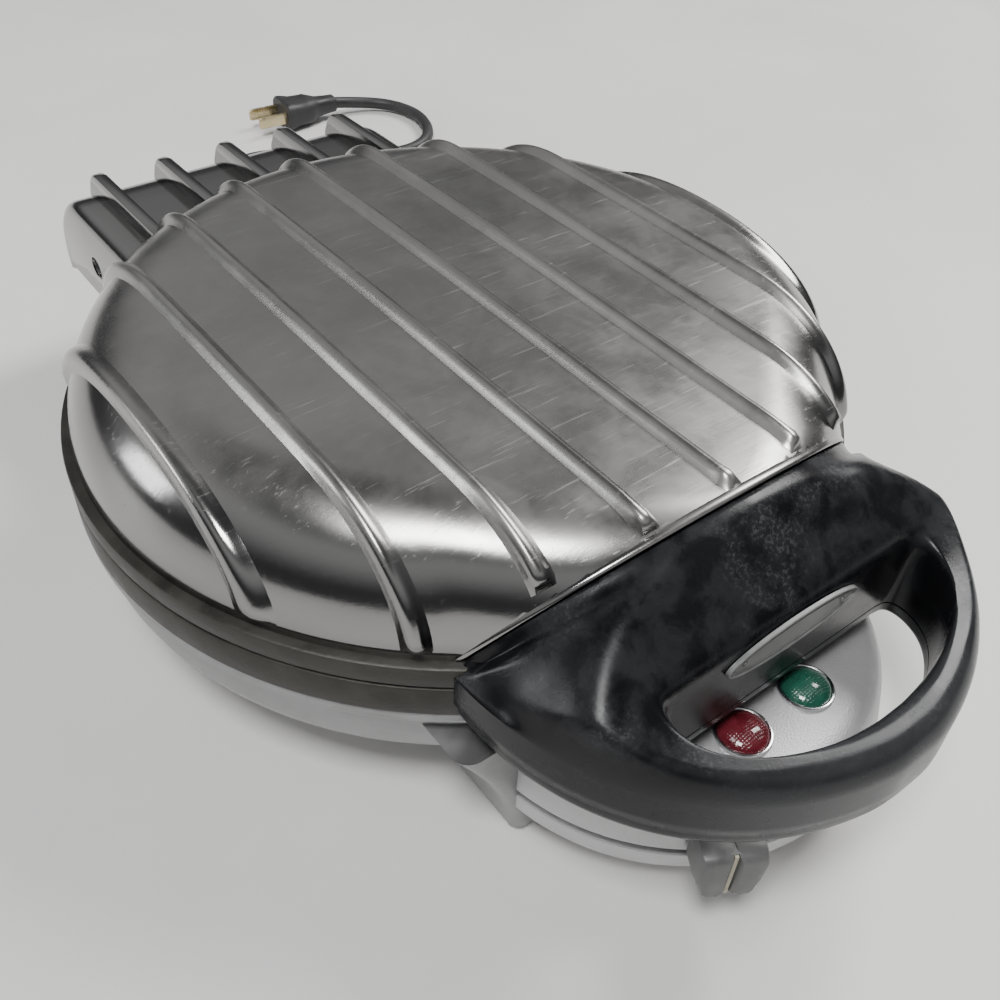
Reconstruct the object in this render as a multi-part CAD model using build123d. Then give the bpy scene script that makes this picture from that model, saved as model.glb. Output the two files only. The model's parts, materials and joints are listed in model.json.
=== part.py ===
from build123d import *
import os
from math import atan2, cos, degrees, pi, radians, sin, sqrt, tan

os.makedirs("parts", exist_ok=True)

# Driving dimensions, in millimetres. The origin is on the table under the centre of the round grids.
# +Z is up, the handle points to -Y and the hinge is at +Y.

# Heights above the table
foot_h = 2.0
ring_bottom = 42.0
seam_z = 52.0
dome_rim_z = 59.0
dome_top_z = 90.3
seam_gap = 0.2

# Round castings
ring_r = 115.0
dome_r = 112.0
dome_flat_r = 84.0
dome_crown = 1.0
dome_wall = 2.6
rib_pitch = 24.3
rib_count = 9
rib_w = 5.6
rib_h = 2.6

# Front seam, where the dome meets the handle, is an arch in a leaning plane
seam_half_w = 66.5
seam_y_low = -91.0
seam_y_top = -109.0

# Waffle grids
cavity_r = 104.0
cavity_floor = ring_bottom - 6.0
cavity_roof = ring_bottom + 20.0
grid_plate = 4.0
stud_h = 9.5
stud_base = 14.5
stud_tip = 10.5
stud_pitch = 20.0
stud_reach = 90.0
divider_w = 4.0

# Heating elements
element_r = 3.4
element_loop_r = 68.0
element_gap_angle = 34.0

# Handle
nose_y = -169.0
handle_end_x = 68.3
handle_end_y = -93.5
handle_shell = 4.0
opening_back_y = -131.0
opening_half_w = 42.0
opening_nose_y = -155.5
grip_top = ring_bottom + 24.5

# Badge
badge_len = 45.0
badge_w = 10.0
badge_z = ring_bottom + 21.5

# Base pan
pan_lip_r = 114.6
pan_top_r = 112.4
pan_low_r = 104.0
pan_bottom = ring_bottom - 29.0
pan_wall = 2.4
lip_h = 3.6

# Control housing, a round box whose centre is the thermostat spindle
spindle_y = -95.0
housing_r = 60.0
housing_top = ring_bottom - 7.5
housing_bottom = ring_bottom - 31.0
housing_wall = 2.2
slot_z = ring_bottom - 23.6
slot_h = 1.8
slot_half_angle = 52.0
lamp_x = 11.5
lamp_y = -133.5
lamp_r = 7.2

# Browning lever
lever_angle = -30.5
knob_in_r = 61.2
knob_out_r = 70.4
knob_w = 19.0
knob_top = ring_bottom - 9.0
knob_low = ring_bottom - 27.0
arm_t = 0.9
shaft_r = 3.0
fit = 0.05

# Hinge
hinge_y = 132.0
hinge_z = ring_bottom + 8.0
pin_r = 4.0
pin_bore_r = 2.6
cover_half_w = 62.0
cover_top = ring_bottom + 27.0
cover_rear_y = 169.0
cover_barrel_r = 29.0
cover_wall = 3.0
swing_gap = 3.4
fin_top = ring_bottom + 33.0
fin_w = 5.0
ear_x = 52.5
ear_t = 5.0
ear_r = 9.0

# Legs
leg_x = 52.0
leg_front_y = -93.5
leg_rear_y = 74.0
leg_w = 14.0
leg_l = 28.0
leg_bottom = foot_h

# Cord
cord_r = 3.0
tie_t = 0.5
cord_z = cord_r + tie_t + 0.1
exit_angle = 47.0
exit_z = ring_bottom - 18.0
coil_x = 52.0
coil_front_y = 188.0
coil_turn_step = 6.6
coil_r = 36.3
boot_l = 26.0
plug_len = 32.0


def save(shape, node):
    export_step(shape, "parts/" + node + ".step")
    return shape


def lift(face, z, height):
    # A flat outline drawn at z = 0, moved to z and drawn up by height.
    return extrude(Pos(0, 0, z) * face, amount=height, dir=(0, 0, 1))


def revolve_profile(line):
    face = make_face(Plane.XZ * line)
    return revolve(face, Axis.Z)


# Dome of the lid

dome_edge_w = dome_r - dome_flat_r


def dome_solid(grow, bottom):
    # The outer form: a crowned flat top that rolls over into an upright wall.
    flat_z = dome_top_z - dome_crown + grow
    drop = flat_z - dome_rim_z
    outer = dome_r + grow
    crown = ThreePointArc((0, flat_z + dome_crown), (dome_flat_r / 2, flat_z + dome_crown * 0.75),
                          (dome_flat_r, flat_z))
    roll = EllipticalCenterArc((dome_flat_r, dome_rim_z), dome_edge_w + grow, drop, 0, arc_size=90)
    wall = Line((outer, dome_rim_z), (outer, bottom))
    base = Line((outer, bottom), (0, bottom))
    axis = Line((0, bottom), (0, flat_z + dome_crown))
    return revolve_profile(Curve() + [crown, roll, wall, base, axis])


def arch_face(grow, low):
    # The cross-section of the front of the lid, seen from the front.
    half = seam_half_w + grow
    top = dome_top_z - 0.4 + grow
    shoulder_x = 0.52 * half
    shoulder_z = dome_rim_z + 0.76 * (top - dome_rim_z)
    left = Spline((-half, dome_rim_z), (-shoulder_x, shoulder_z), (0, top),
                  (shoulder_x, shoulder_z), (half, dome_rim_z),
                  tangents=((0.25, 1), (0.25, -1)))
    sides = Polyline((half, dome_rim_z), (half, low), (-half, low), (-half, dome_rim_z))
    return make_face(Plane.XZ * (Curve() + [left, sides]))


def front_prism(grow, low):
    # Carries the arch forward from the middle of the lid to beyond the seam.
    return extrude(arch_face(grow, low), amount=125, dir=(0, -1, 0))


seam_lean = (seam_y_low - seam_y_top) / (dome_top_z - 0.4 - dome_rim_z)


def seam_space(gap):
    # Everything in front of the leaning seam plane, less a gap.
    low_z = ring_bottom - 60
    high_z = dome_top_z + 60
    side = Polyline((seam_y_low - gap + seam_lean * (dome_rim_z - low_z), low_z),
                    (seam_y_low - gap - seam_lean * (high_z - dome_rim_z), high_z),
                    (-400, high_z), (-400, low_z), close=True)
    return extrude(make_face(Plane.YZ * side), amount=300, both=True)


def lid_form(grow, bottom):
    return dome_solid(grow, bottom) + (front_prism(grow, bottom) - seam_space(0))


def lid_ribs():
    # Nine half-round ribs run from front to back over the dome.
    raised = lid_form(rib_h, dome_rim_z - 2) - seam_space(0)
    ribs = []
    for i in range(rib_count):
        x = (i - (rib_count - 1) / 2) * rib_pitch
        slab = Pos(x, 0, dome_rim_z + 50.4) * Box(rib_w, 400, 100)
        ribs.append(raised & slab)
    return ribs


def build_dome():
    shell = lid_form(0, dome_rim_z - 2) - seam_space(0)
    for rib in lid_ribs():
        shell += rib
    shell -= dome_solid(-dome_wall, dome_rim_z - 5)
    return shell - Pos(0, 0, dome_rim_z - 10) * Cylinder(300, 20)


# Handle


def handle_outline(inset=0.0):
    end_x = handle_end_x - inset
    side = Spline((end_x, handle_end_y), (62.5 - inset, -127), (42 - inset * 0.7, -151.5 + inset * 0.7),
                  (0, nose_y + inset), tangents=((0.08, -1), (-1, 0)))
    return side


def handle_plan(inset=0.0):
    right = handle_outline(inset)
    left = mirror(right, Plane.YZ)
    back = Line(left @ 0, right @ 0)
    return make_face(Curve() + [right, left, back])


def opening_plan(grow=0.0):
    half = opening_half_w + grow
    back = opening_back_y + grow
    nose = opening_nose_y - grow
    edge = Line((-half + 6, back), (half - 6, back))
    corner_r = JernArc(edge @ 1, edge % 1, 6, -100)
    corner_l = mirror(corner_r, Plane.YZ)
    front = Spline(corner_r @ 1, (27 + grow, -149.5 - grow), (0, nose), (-27 - grow, -149.5 - grow),
                   corner_l @ 1, tangents=(corner_r % 1, (corner_l % 1) * -1))
    return make_face(Curve() + [edge, corner_r, front, corner_l])


def handle_side():
    # Side view of the handle's upper line, from the seam down to the grip and the nose.
    top = Spline((seam_y_top, dome_top_z - 0.4), (-130, ring_bottom + 31.5), (-155, grip_top),
                 (nose_y, grip_top - 5), tangents=((-1, -0.38), (-0.5, -1)))
    back_y = seam_y_low + 30
    rest = Polyline(top @ 1, (nose_y, ring_bottom), (back_y, ring_bottom), (back_y, dome_top_z - 0.4),
                    top @ 0)
    return extrude(make_face(Plane.YZ * (Curve() + [top, rest])), amount=150, both=True)


def handle_blank():
    z0 = ring_bottom + handle_shell
    plan = lift(handle_plan(), z0, 80)
    back = Pos(0, handle_end_y + 30, z0 + 40) * Box(2 * handle_end_x, 60.0, 80)
    body = (plan + back) & handle_side()
    body = body & (front_arch_for_handle())
    return body & seam_space(0.15)


def front_arch_for_handle():
    # The arch of the seam carried on forward, over a straight flank.
    half = handle_end_x + 0.1
    top = dome_top_z - 0.4
    z0 = ring_bottom
    edge_z = dome_rim_z + 0.5
    shoulder_x = 0.52 * seam_half_w
    shoulder_z = dome_rim_z + 0.76 * (top - dome_rim_z)
    line = Spline((-half, edge_z - 2), (-shoulder_x, shoulder_z), (0, top), (shoulder_x, shoulder_z),
                  (half, edge_z - 2), tangents=((0.3, 1), (0.3, -1)))
    sides = Polyline(line @ 1, (half, z0), (-half, z0), line @ 0)
    return extrude(make_face(Plane.XZ * (Curve() + [line, sides])), amount=200, dir=(0, -1, 0))


def ring_space(gap_low, gap_high):
    low = Pos(0, 0, (seam_z + ring_bottom) / 2 - 20) * Cylinder(ring_r + gap_low, seam_z - ring_bottom + 40.8)
    high = Pos(0, 0, (dome_rim_z + seam_z) / 2) * Cylinder(ring_r + gap_high, dome_rim_z - seam_z + 0.4)
    return low + high


def build_handle_upper():
    body = handle_blank()
    body -= ring_space(1.6, 0.15)
    body -= dome_solid(0.15, dome_rim_z - 5)
    body -= lift(opening_plan(), ring_bottom - 10, 120)
    pocket = lift(handle_plan(9.0), ring_bottom, handle_shell + 9)
    pocket -= lift(opening_plan(7.0), ring_bottom - 10, 60)
    pocket -= Pos(0, -100 - 52, ring_bottom + 20) * Box(200, 50, 60)
    pocket -= Pos(0, 0, ring_bottom + 20) * Cylinder(ring_r + 5.5, 60)
    body -= pocket
    for x, y in handle_screw_places():
        post = Pos(x, y, ring_bottom + handle_shell + 5) * Cylinder(4.0, 10)
        body += post
        body -= Pos(x, y, ring_bottom + handle_shell + 3) * Cylinder(1.5, 10)
    return body


def handle_screw_places():
    return [(-50, -121), (50, -121), (-22, -122.8), (22, -122.8), (0, -162.3)]


def build_handle_lower():
    plate = lift(handle_plan(0.6), ring_bottom, handle_shell - 0.05)
    plate -= ring_space(1.6, 1.6)
    plate -= lift(opening_plan(), ring_bottom - 10, 60)
    for x, y in handle_screw_places():
        plate -= Pos(x, y, ring_bottom + 2) * Cylinder(1.75, 10)
        plate -= Pos(x, y, ring_bottom + 0.9) * Cylinder(3.2, 1.8)
    return plate


def screw(head_r, head_h, shank_r, shank_l):
    # Stands head down, with its head's underside of the slot at z = 0.
    body = Pos(0, 0, head_h / 2) * Cylinder(head_r, head_h)
    body += Pos(0, 0, head_h + shank_l / 2) * Cylinder(shank_r, shank_l)
    body -= Pos(0, 0, 0.3) * Box(2 * head_r * 0.7, 0.8, 0.6)
    return body


def build_handle_screws():
    return Compound([Pos(x, y, ring_bottom + 0.2) * screw(3.0, 1.5, 1.45, 9.0)
                     for x, y in handle_screw_places()])


def build_badge():
    wall = Plane(origin=(0, opening_back_y, badge_z), x_dir=(1, 0, 0), z_dir=(0, -1, 0))
    plate = extrude(wall * Ellipse(badge_len / 2, badge_w / 2), amount=0.8)
    rim = Ellipse(badge_len / 2, badge_w / 2) - Ellipse(badge_len / 2 - 1.0, badge_w / 2 - 1.0)
    return plate + extrude(wall * rim, amount=1.2)


# Waffle grids


def stud_places():
    places = []
    steps = [-4.5 + i for i in range(10)]
    for i in steps:
        for j in steps:
            x = i * stud_pitch
            y = j * stud_pitch
            if sqrt(x * x + y * y) < stud_reach:
                places.append((x, y))
    return places


def stud(height):
    # A square post that tapers to its tip.
    foot = Rectangle(stud_base, stud_base)
    tip = Pos(0, 0, height) * Rectangle(stud_tip, stud_tip)
    return loft([foot, tip])


def grid_levels(up):
    # Rim face, floor, the outer band's far edge, and the way that the dish opens.
    if up:
        return seam_z - seam_gap, cavity_floor, ring_bottom, 1
    return seam_z + seam_gap, cavity_roof, dome_rim_z, -1


def dish_space(up, less):
    # The hollow between the floor and the rim, whose wall leans outwards.
    z_rim, z_floor, _, sign = grid_levels(up)
    low = Pos(0, 0, z_floor) * Circle(cavity_r - 5 - less)
    return loft([low, Pos(0, 0, z_rim + sign * 0.01) * Circle(cavity_r - less)])


def build_grid_rim(up):
    # The wall of the dish, with the broad band that closes on the other grid.
    z_rim, z_floor, band_back, _ = grid_levels(up)
    band = Pos(0, 0, (z_rim + band_back) / 2) * Cylinder(ring_r, abs(z_rim - band_back))
    wall = Pos(0, 0, (z_rim + z_floor) / 2) * Cylinder(cavity_r + 4.5, abs(z_rim - z_floor))
    return band + wall - dish_space(up, 0)


def build_grid(up):
    # The floor of the dish with its studs and the two dividers that cut the waffle in four.
    _, z_floor, _, sign = grid_levels(up)
    post = stud(stud_h)
    if not up:
        post = Rotation(180, 0, 0) * post
    ridge_h = stud_h - 2
    ridge = Pos(0, 0, z_floor + sign * ridge_h / 2) * Box(2 * cavity_r - 8, divider_w, ridge_h)
    body = ridge + Rotation(0, 0, 90) * ridge
    for x, y in stud_places():
        body += Pos(x, y, z_floor) * post
    body = body & dish_space(up, 0.05)
    return body + Pos(0, 0, z_floor - sign * grid_plate / 2) * Cylinder(cavity_r + 4.5, grid_plate)


def build_element(z):
    # A tubular loop, open at the back, with two legs that turn inwards.
    span = 360 - element_gap_angle
    start = 90 + element_gap_angle / 2
    path = CenterArc((0, 0), element_loop_r, start, span)
    bend = JernArc(path @ 1, path % 1, 12, 90)
    tail = Line(bend @ 1, bend @ 1 + (bend % 1) * 16)
    first = mirror(bend, Plane.YZ)
    first_tail = mirror(tail, Plane.YZ)
    wire = (Curve() + [first_tail, first, path, bend, tail]).wires()[0]
    section = Plane(origin=wire @ 0, z_dir=wire % 0) * Circle(element_r)
    return Pos(0, 0, z) * sweep(section, wire)


def build_reflector(z, up):
    # A dished sheet that sends the element's heat to the grid.
    sheet = 0.8
    disc = Pos(0, 0, z) * Cylinder(92, sheet)
    side = 1 if up else -1
    wall = Pos(0, 0, z + side * 4) * (Cylinder(92, 8) - Cylinder(92 - sheet, 9))
    hole = Pos(0, 52, z) * Cylinder(14, 20)
    return disc + wall - hole


# Base


def pan_outer(grow):
    low_r = pan_low_r + grow
    line = Polyline((0, ring_bottom - lip_h), (pan_top_r + grow, ring_bottom - lip_h))
    flank = ThreePointArc(line @ 1, (low_r + 7.6, ring_bottom - 17), (low_r, pan_bottom + 6))
    corner = ThreePointArc(flank @ 1, (low_r - 2.4, pan_bottom + 1.8), (low_r - 8, pan_bottom))
    close = Polyline(corner @ 1, (0, pan_bottom), (0, ring_bottom - lip_h))
    return revolve_profile(Curve() + [line, flank, corner, close])


def build_pan():
    body = pan_outer(0)
    body += Pos(0, 0, ring_bottom - lip_h / 2 - 0.1) * Cylinder(pan_lip_r, lip_h - 0.2)
    inner = pan_outer(-pan_wall)
    body -= Pos(0, 0, pan_wall) * inner
    body -= Pos(0, 0, ring_bottom) * Cylinder(pan_top_r - pan_wall, 3 * lip_h)
    body -= Pos(0, 0, pan_bottom) * Cylinder(pan_low_r - 14, 12)
    body -= Pos(0, -110, slot_z + 2) * Box(96, 72, 20)
    for x, y in base_screw_places:
        body -= Pos(x, y, pan_bottom) * Cylinder(1.6, 20)
    return body


base_screw_places = [(-85, -35), (85, -35), (-80, 45), (80, 45)]


def build_base_plate():
    # Closes the pan from below, with rows of vent slots.
    disc = Pos(0, 0, pan_bottom + 0.8) * Cylinder(pan_low_r - 14.3, 2.0)
    disc += Pos(0, 0, pan_bottom - 0.6) * Cylinder(pan_low_r - 10, 1.1)
    for row in (-1, 1):
        for i in range(7):
            slot = Pos((i - 3) * 14, row * 38, pan_bottom) * Rectangle(4.5, 30)
            disc -= extrude(slot, amount=6, both=True)
    disc -= Pos(0, spindle_y, pan_bottom) * Cylinder(housing_r + 0.3, 20)
    for x, y in base_screw_places:
        disc -= Pos(x, y, pan_bottom) * Cylinder(1.9, 20)
    leg_room = Box(leg_w * 1.4, leg_l * 1.3, 10)
    for side in (-1, 1):
        disc -= Pos(side * leg_x * 1.04, leg_rear_y * 0.97, pan_bottom - 5) * leg_room
    return disc


def build_leg(x_side, y_mid):
    # A flared foot that grows out of the pan's flank.
    x = leg_x * x_side
    low = Pos(x, y_mid, leg_bottom) * RectangleRounded(leg_w, leg_l, 4)
    mid = Pos(x * 1.06, y_mid * 0.955, leg_bottom + 14) * RectangleRounded(leg_w * 1.2, leg_l * 1.15, 4.5)
    high = Pos(x * 1.22, y_mid * 0.86, ring_bottom - lip_h) * RectangleRounded(leg_w * 1.7, leg_l * 1.5, 6)
    leg = loft([low, mid, high])
    leg -= pan_outer(0.05)
    leg = leg & (Pos(0, 0, 20) * Cylinder(pan_lip_r + 4, 80))
    if y_mid < 0:
        leg -= Pos(0, spindle_y, housing_bottom + 40) * Cylinder(housing_r + 0.15, 80.2)
    leg -= Pos(x, y_mid, leg_bottom + 3) * Cylinder(2.5, 10)
    solids = leg.solids().sort_by(Axis.Z)
    return solids[0]


def build_foot(x_side, y_mid):
    x = leg_x * x_side
    sole = RectangleRounded(leg_w - 3, leg_l - 8, 3)
    pad = Pos(x, y_mid, foot_h / 2) * extrude(sole, amount=foot_h / 2, both=True)
    stem = Pos(x, y_mid, foot_h + 3) * Cylinder(2.45, 6)
    return pad + stem


def housing_form(shrink, bottom, top):
    # A round box with a rolled top edge.
    wall_r = housing_r - shrink
    edge = 6.0
    base = Line((0, bottom), (wall_r, bottom))
    wall = Line((wall_r, bottom), (wall_r - 1.5, top - edge))
    roll = ThreePointArc(wall @ 1, (wall_r - 2.8, top - 1.8), (wall_r - 7.5, top))
    deck = Line(roll @ 1, (0, top + 0.8))
    axis = Line((0, top + 0.8), (0, bottom))
    return Pos(0, spindle_y, 0) * revolve_profile(Curve() + [base, wall, roll, deck, axis])


def front_sector(radius, half_angle, z, height):
    # A wedge about the spindle, centred on the front.
    reach = radius * 3
    side = reach * sin(radians(half_angle))
    ahead = -reach * cos(radians(half_angle))
    wedge = Polyline((0, 0), (side, ahead), (0, -reach * 1.6), (-side, ahead), close=True)
    return Pos(0, spindle_y, 0) * lift(make_face(wedge), z, height)


def build_housing_upper():
    body = housing_form(0, slot_z + slot_h / 2, housing_top)
    body -= housing_form(housing_wall, slot_z - 10, housing_top - housing_wall)
    body -= pan_outer(0.05) + Pos(0, 0, ring_bottom) * Cylinder(pan_lip_r + 0.3, 2 * lip_h + 0.4)
    for side in (-1, 1):
        body -= Pos(side * lamp_x, lamp_y, housing_top) * Cylinder(lamp_r - 1.0, 20)
    return body


def build_housing_lower():
    body = housing_form(0, housing_bottom, slot_z + slot_h / 2 + 30)
    body = body & Pos(0, spindle_y, (housing_bottom + slot_z + slot_h / 2) / 2) * Cylinder(
        housing_r + 5, slot_z + slot_h / 2 - housing_bottom - 0.1)
    body -= Pos(0, 0, housing_wall) * housing_form(housing_wall, housing_bottom, slot_z + 40)
    body -= front_sector(housing_r, slot_half_angle, slot_z - slot_h / 2, slot_h + 2)
    body -= pan_outer(0.05)
    return body


def build_lens(side):
    # A domed lens with a flange under the housing's top.
    r = lamp_r - 1.2
    rim = Polyline((0, -3.2), (r, -3.2), (r, 0.4))
    sag = 2.6
    ball = (r * r + sag * sag) / (2 * sag)
    crown = ThreePointArc((r, 0.4), (r / 2, 0.4 + sqrt(ball ** 2 - r * r / 4) - ball + sag), (0, 0.4 + sag))
    axis = Line((0, 3.0), (0, -3.2))
    return Pos(side * lamp_x, lamp_y, housing_top + 0.9) * revolve_profile(Curve() + [rim, crown, axis])


def build_bezels():
    rings = []
    for side in (-1, 1):
        ring = Pos(side * lamp_x, lamp_y, housing_top + 0.8) * (Cylinder(lamp_r + 0.9, 1.4) - Cylinder(
            lamp_r - 1.1, 4))
        rings.append(ring - housing_form(0, slot_z, housing_top))
    return Compound(rings)


def build_neon(side):
    bulb = Pos(side * lamp_x, lamp_y, housing_top - 10.5) * Cylinder(3.0, 10)
    tip = Pos(side * lamp_x, lamp_y, housing_top - 5.5) * Sphere(3.0)
    return bulb + tip


def build_thermostat():
    # A bracketed switch block round the spindle.
    low = slot_z - 2.8
    body = Pos(0, spindle_y - 20, low) * Box(34, 30, 3.6) + Pos(0, spindle_y, low) * Cylinder(8, 3.6)
    body += Pos(0, spindle_y - 4, low) * Box(10, 12, 3.6)
    return body - Pos(0, spindle_y, low) * Cylinder(shaft_r + fit, 10)


# Hinge


def cover_profile(inset, floor):
    # Side view of the hinge cover: a flat back that rolls round a barrel.
    top = cover_top - inset
    mid_y = cover_rear_y - cover_barrel_r
    mid_z = cover_top - cover_barrel_r
    r = cover_barrel_r - inset
    start_y = 84.0
    flat = Line((start_y, top), (mid_y, top))
    low = radians(-12)
    barrel = ThreePointArc((mid_y, top), (mid_y + r * cos(radians(40)), mid_z + r * sin(radians(40))),
                           (mid_y + r * cos(low), mid_z + r * sin(low)))
    rest = Polyline(barrel @ 1, (barrel @ 1 - (9, 0)), (hinge_y - 11, floor), (start_y, floor),
                    (start_y, top))
    return make_face(Plane.YZ * (Curve() + [flat, barrel, rest]))


def build_cover():
    floor = hinge_z - 13
    outer = extrude(cover_profile(0, floor), amount=cover_half_w, both=True)
    ends = outer.faces().sort_by(Axis.X)
    rims = ends[0].edges().filter_by(GeomType.CIRCLE) + ends[-1].edges().filter_by(GeomType.CIRCLE)
    outer = fillet(rims, 4.0)
    inner = extrude(cover_profile(cover_wall, floor - 30), amount=cover_half_w - 4.0, both=True)
    inner += Pos(0, 120, floor - 5) * Box(2 * cover_half_w - 8, 130, 24)
    body = outer - inner
    for i in range(-2, 3):
        fin = Polyline((90, fin_top), (hinge_y + 19, fin_top), (hinge_y + 25, fin_top - 9),
                       (hinge_y + 22, fin_top - 14), (90, fin_top - 14), close=True)
        slab = extrude(Plane.YZ * make_face(fin), amount=fin_w / 2, both=True)
        body += Pos(i * rib_pitch, 0, 0) * (slab - inner)
    body -= dome_solid(0.15, ring_bottom - 5)
    body -= Pos(0, 0, ring_bottom) * Cylinder(ring_r + 0.4, 36)
    body -= Pos(0, 0, seam_z - 20) * Cylinder(ring_r + swing_gap, 40)
    rib_room = dome_solid(rib_h + 0.2, ring_bottom - 5)
    for i in range(-2, 3):
        body -= rib_room & (Pos(i * rib_pitch, 100, 100) * Box(rib_w + 0.5, 100, 200))
    for side in (-1, 1):
        body -= Pos(side * cover_half_w, hinge_y, hinge_z) * Rotation(0, 90, 0) * Cylinder(pin_r + fit, 20)
    return body


def build_pin():
    rod = Cylinder(pin_r, 2 * cover_half_w - 2.4) - Cylinder(pin_bore_r, 2 * cover_half_w + 2)
    return Pos(0, hinge_y, hinge_z) * Rotation(0, 90, 0) * rod


def build_bracket(side):
    # An ear round the pin, with an arm that reaches forward and down to the pan.
    x = side * ear_x
    front_y = 84.0
    eye = Pos(x, hinge_y, hinge_z) * Rotation(0, 90, 0) * Cylinder(ear_r, ear_t)
    web = Polyline((hinge_y, hinge_z - ear_r), (hinge_y - 8, hinge_z - ear_r - 6), (front_y, pan_bottom + 8),
                   (front_y, ring_bottom - lip_h - 1.5), (hinge_y - 24, ring_bottom - lip_h - 1.5),
                   (hinge_y - 8.8, hinge_z + 2), (hinge_y, hinge_z), close=True)
    arm = Pos(x, 0, 0) * extrude(Plane.YZ * make_face(web), amount=ear_t / 2, both=True)
    pad = Pos(x - side * 2, 97, ring_bottom - 14) * Box(16, 14, 16)
    body = eye + arm + pad
    body -= pan_outer(0.02) + Pos(0, 0, ring_bottom) * Cylinder(pan_lip_r + 0.5, 2 * lip_h + 0.6)
    body -= Pos(x, hinge_y, hinge_z) * Rotation(0, 90, 0) * Cylinder(pin_r, ear_t * 2)
    return body.solids().sort_by(SortBy.VOLUME)[-1]


# Browning lever

def build_lever():
    # Drawn pointing to the front, then turned to its setting.
    hub = Cylinder(6.0, arm_t)
    arm = Pos(0, -(knob_in_r + 3) / 2 - 1, 0) * Box(9, knob_in_r + 1, arm_t)
    plate = Pos(0, 0, slot_z) * (hub + arm - Cylinder(shaft_r, 5))
    half = knob_w / 2
    narrow = half * 0.66
    face = Polyline((-half, knob_top - 1), (-half, slot_z + 3), (-narrow, knob_low), (narrow, knob_low),
                    (half, slot_z + 3), (half, knob_top - 1), (0, knob_top), close=True)
    grip = extrude(Plane.XZ * make_face(face), amount=knob_out_r + 5, dir=(0, -1, 0))
    grip = grip & Pos(0, 0, slot_z) * (Cylinder(knob_out_r, 60) - Cylinder(knob_in_r, 70))
    groove = Pos(0, -knob_out_r, (knob_top + knob_low) / 2) * Box(2.4, 3.0, 40)
    body = plate + (grip - groove)
    return Pos(0, spindle_y, 0) * Rotation(0, 0, lever_angle) * body


def build_lever_line():
    strip = Pos(0, -knob_out_r + 1.0, (knob_top + knob_low) / 2) * Box(1.6, 1.0, knob_top - knob_low - 1.6)
    return Pos(0, spindle_y, 0) * Rotation(0, 0, lever_angle) * strip


def build_shaft():
    return Pos(0, spindle_y, slot_z + 0.4) * Cylinder(shaft_r, 10.4)


# Cord


def tube(wire, radius):
    section = Plane(origin=wire @ 0, z_dir=wire % 0) * Circle(radius)
    return sweep(section, wire)


def corner_radii(points):
    radii = []
    for a, b, c in zip(points, points[1:], points[2:]):
        u = Vector(*b) - Vector(*a)
        v = Vector(*c) - Vector(*b)
        turn = radians(u.get_angle(v))
        radii.append(0.45 * min(u.length, v.length) / tan(turn / 2))
    return radii


def routed_tube(points, radius, name):
    radii = corner_radii(points)
    print(name, "radii in diameters", [round(r / (2 * radius), 1) for r in radii])
    wire = Wire(FilletPolyline(*points, radius=radii).edges())
    solid = tube(wire, radius)
    ratio = solid.volume / (pi * radius ** 2 * wire.length)
    print(name, "length", round(wire.length, 1), "volume ratio", round(ratio, 4))
    return solid, wire.length


exit_dir = (cos(radians(exit_angle)), sin(radians(exit_angle)))
boot_start = pan_low_r + 7.0
boot_end = boot_start + boot_l


def along_exit(distance, z):
    return (exit_dir[0] * distance, exit_dir[1] * distance, z)


lead_route = [along_exit(boot_end, exit_z), along_exit(boot_end + 16, exit_z), (112, 127, 19.5),
              (115, 143, 11.5), (114, 160, 5.5), (108.5, 175.5, cord_z), (95, 185, cord_z),
              (coil_x + 21, coil_front_y, cord_z), (coil_x, coil_front_y, cord_z)]

coil_rise = coil_turn_step
tail_start = (coil_x, coil_front_y + 2 * coil_r, cord_z + coil_rise)
plug_entry = (134, 304, 7.8)
tail_route = [tail_start, (coil_x + 18, coil_front_y + 2 * coil_r, cord_z + coil_rise),
              (coil_x + 40, coil_front_y + 2 * coil_r - 2.5, cord_z + 0.3),
              (coil_x + 59, coil_front_y + 2 * coil_r - 10, cord_z), (127, 240.5, cord_z), (142, 238, cord_z),
              (156, 244, cord_z), (166, 258, cord_z), (170, 276, cord_z), (165, 293, cord_z),
              (151, 303, cord_z + 1.2), plug_entry]


def half_turns():
    # Centre radius of each half turn and its rise: in on the table, up, and out again on top.
    step = coil_turn_step / 2
    return [(coil_r, 0), (coil_r - step, 0), (coil_r - 2 * step, coil_rise), (coil_r - step, 0), (coil_r, 0)]


def build_coil():
    point = Vector(coil_x, coil_front_y, cord_z)
    heading = 1
    edges = []
    for radius, rise in half_turns():
        target = point + Vector(0, 2 * radius * heading, rise)
        middle = (point + target) * 0.5 + Vector(-radius * heading, 0, 0)
        edges.append(Edge.make_three_point_arc(point, middle, target))
        point = target
        heading = -heading
    wire = Wire(edges)
    samples = [wire @ (i / 700) for i in range(701)]
    reach = wire.length / 700
    apart = int(pi * cord_r * 4 / reach)
    least = min((samples[i] - samples[j]).length for i in range(0, 701, 2) for j in range(i + apart, 701, 2))
    print("cord_coil length", round(wire.length, 1), "least gap to itself", round(least - 2 * cord_r, 2))
    return tube(wire, cord_r), wire.length


def build_boot():
    # The tapered strain relief, with a flange inside the pan's wall.
    start = Plane(origin=along_exit(boot_start - 4, exit_z), z_dir=(exit_dir[0], exit_dir[1], 0))
    cone = loft([start * Circle(6.5), start.offset(boot_l + 4) * Circle(4.2)])
    boot = cone - pan_outer(0.05)
    for i in range(4):
        cut = start.offset(10 + i * 4.6) * (Circle(9) - Circle(4.3 - i * 0.2))
        boot -= extrude(cut, amount=1.6)
    return boot


plug_plane = Plane(origin=plug_entry, x_dir=(0, 0, 1), z_dir=(-1, 0.06, 0))


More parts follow.
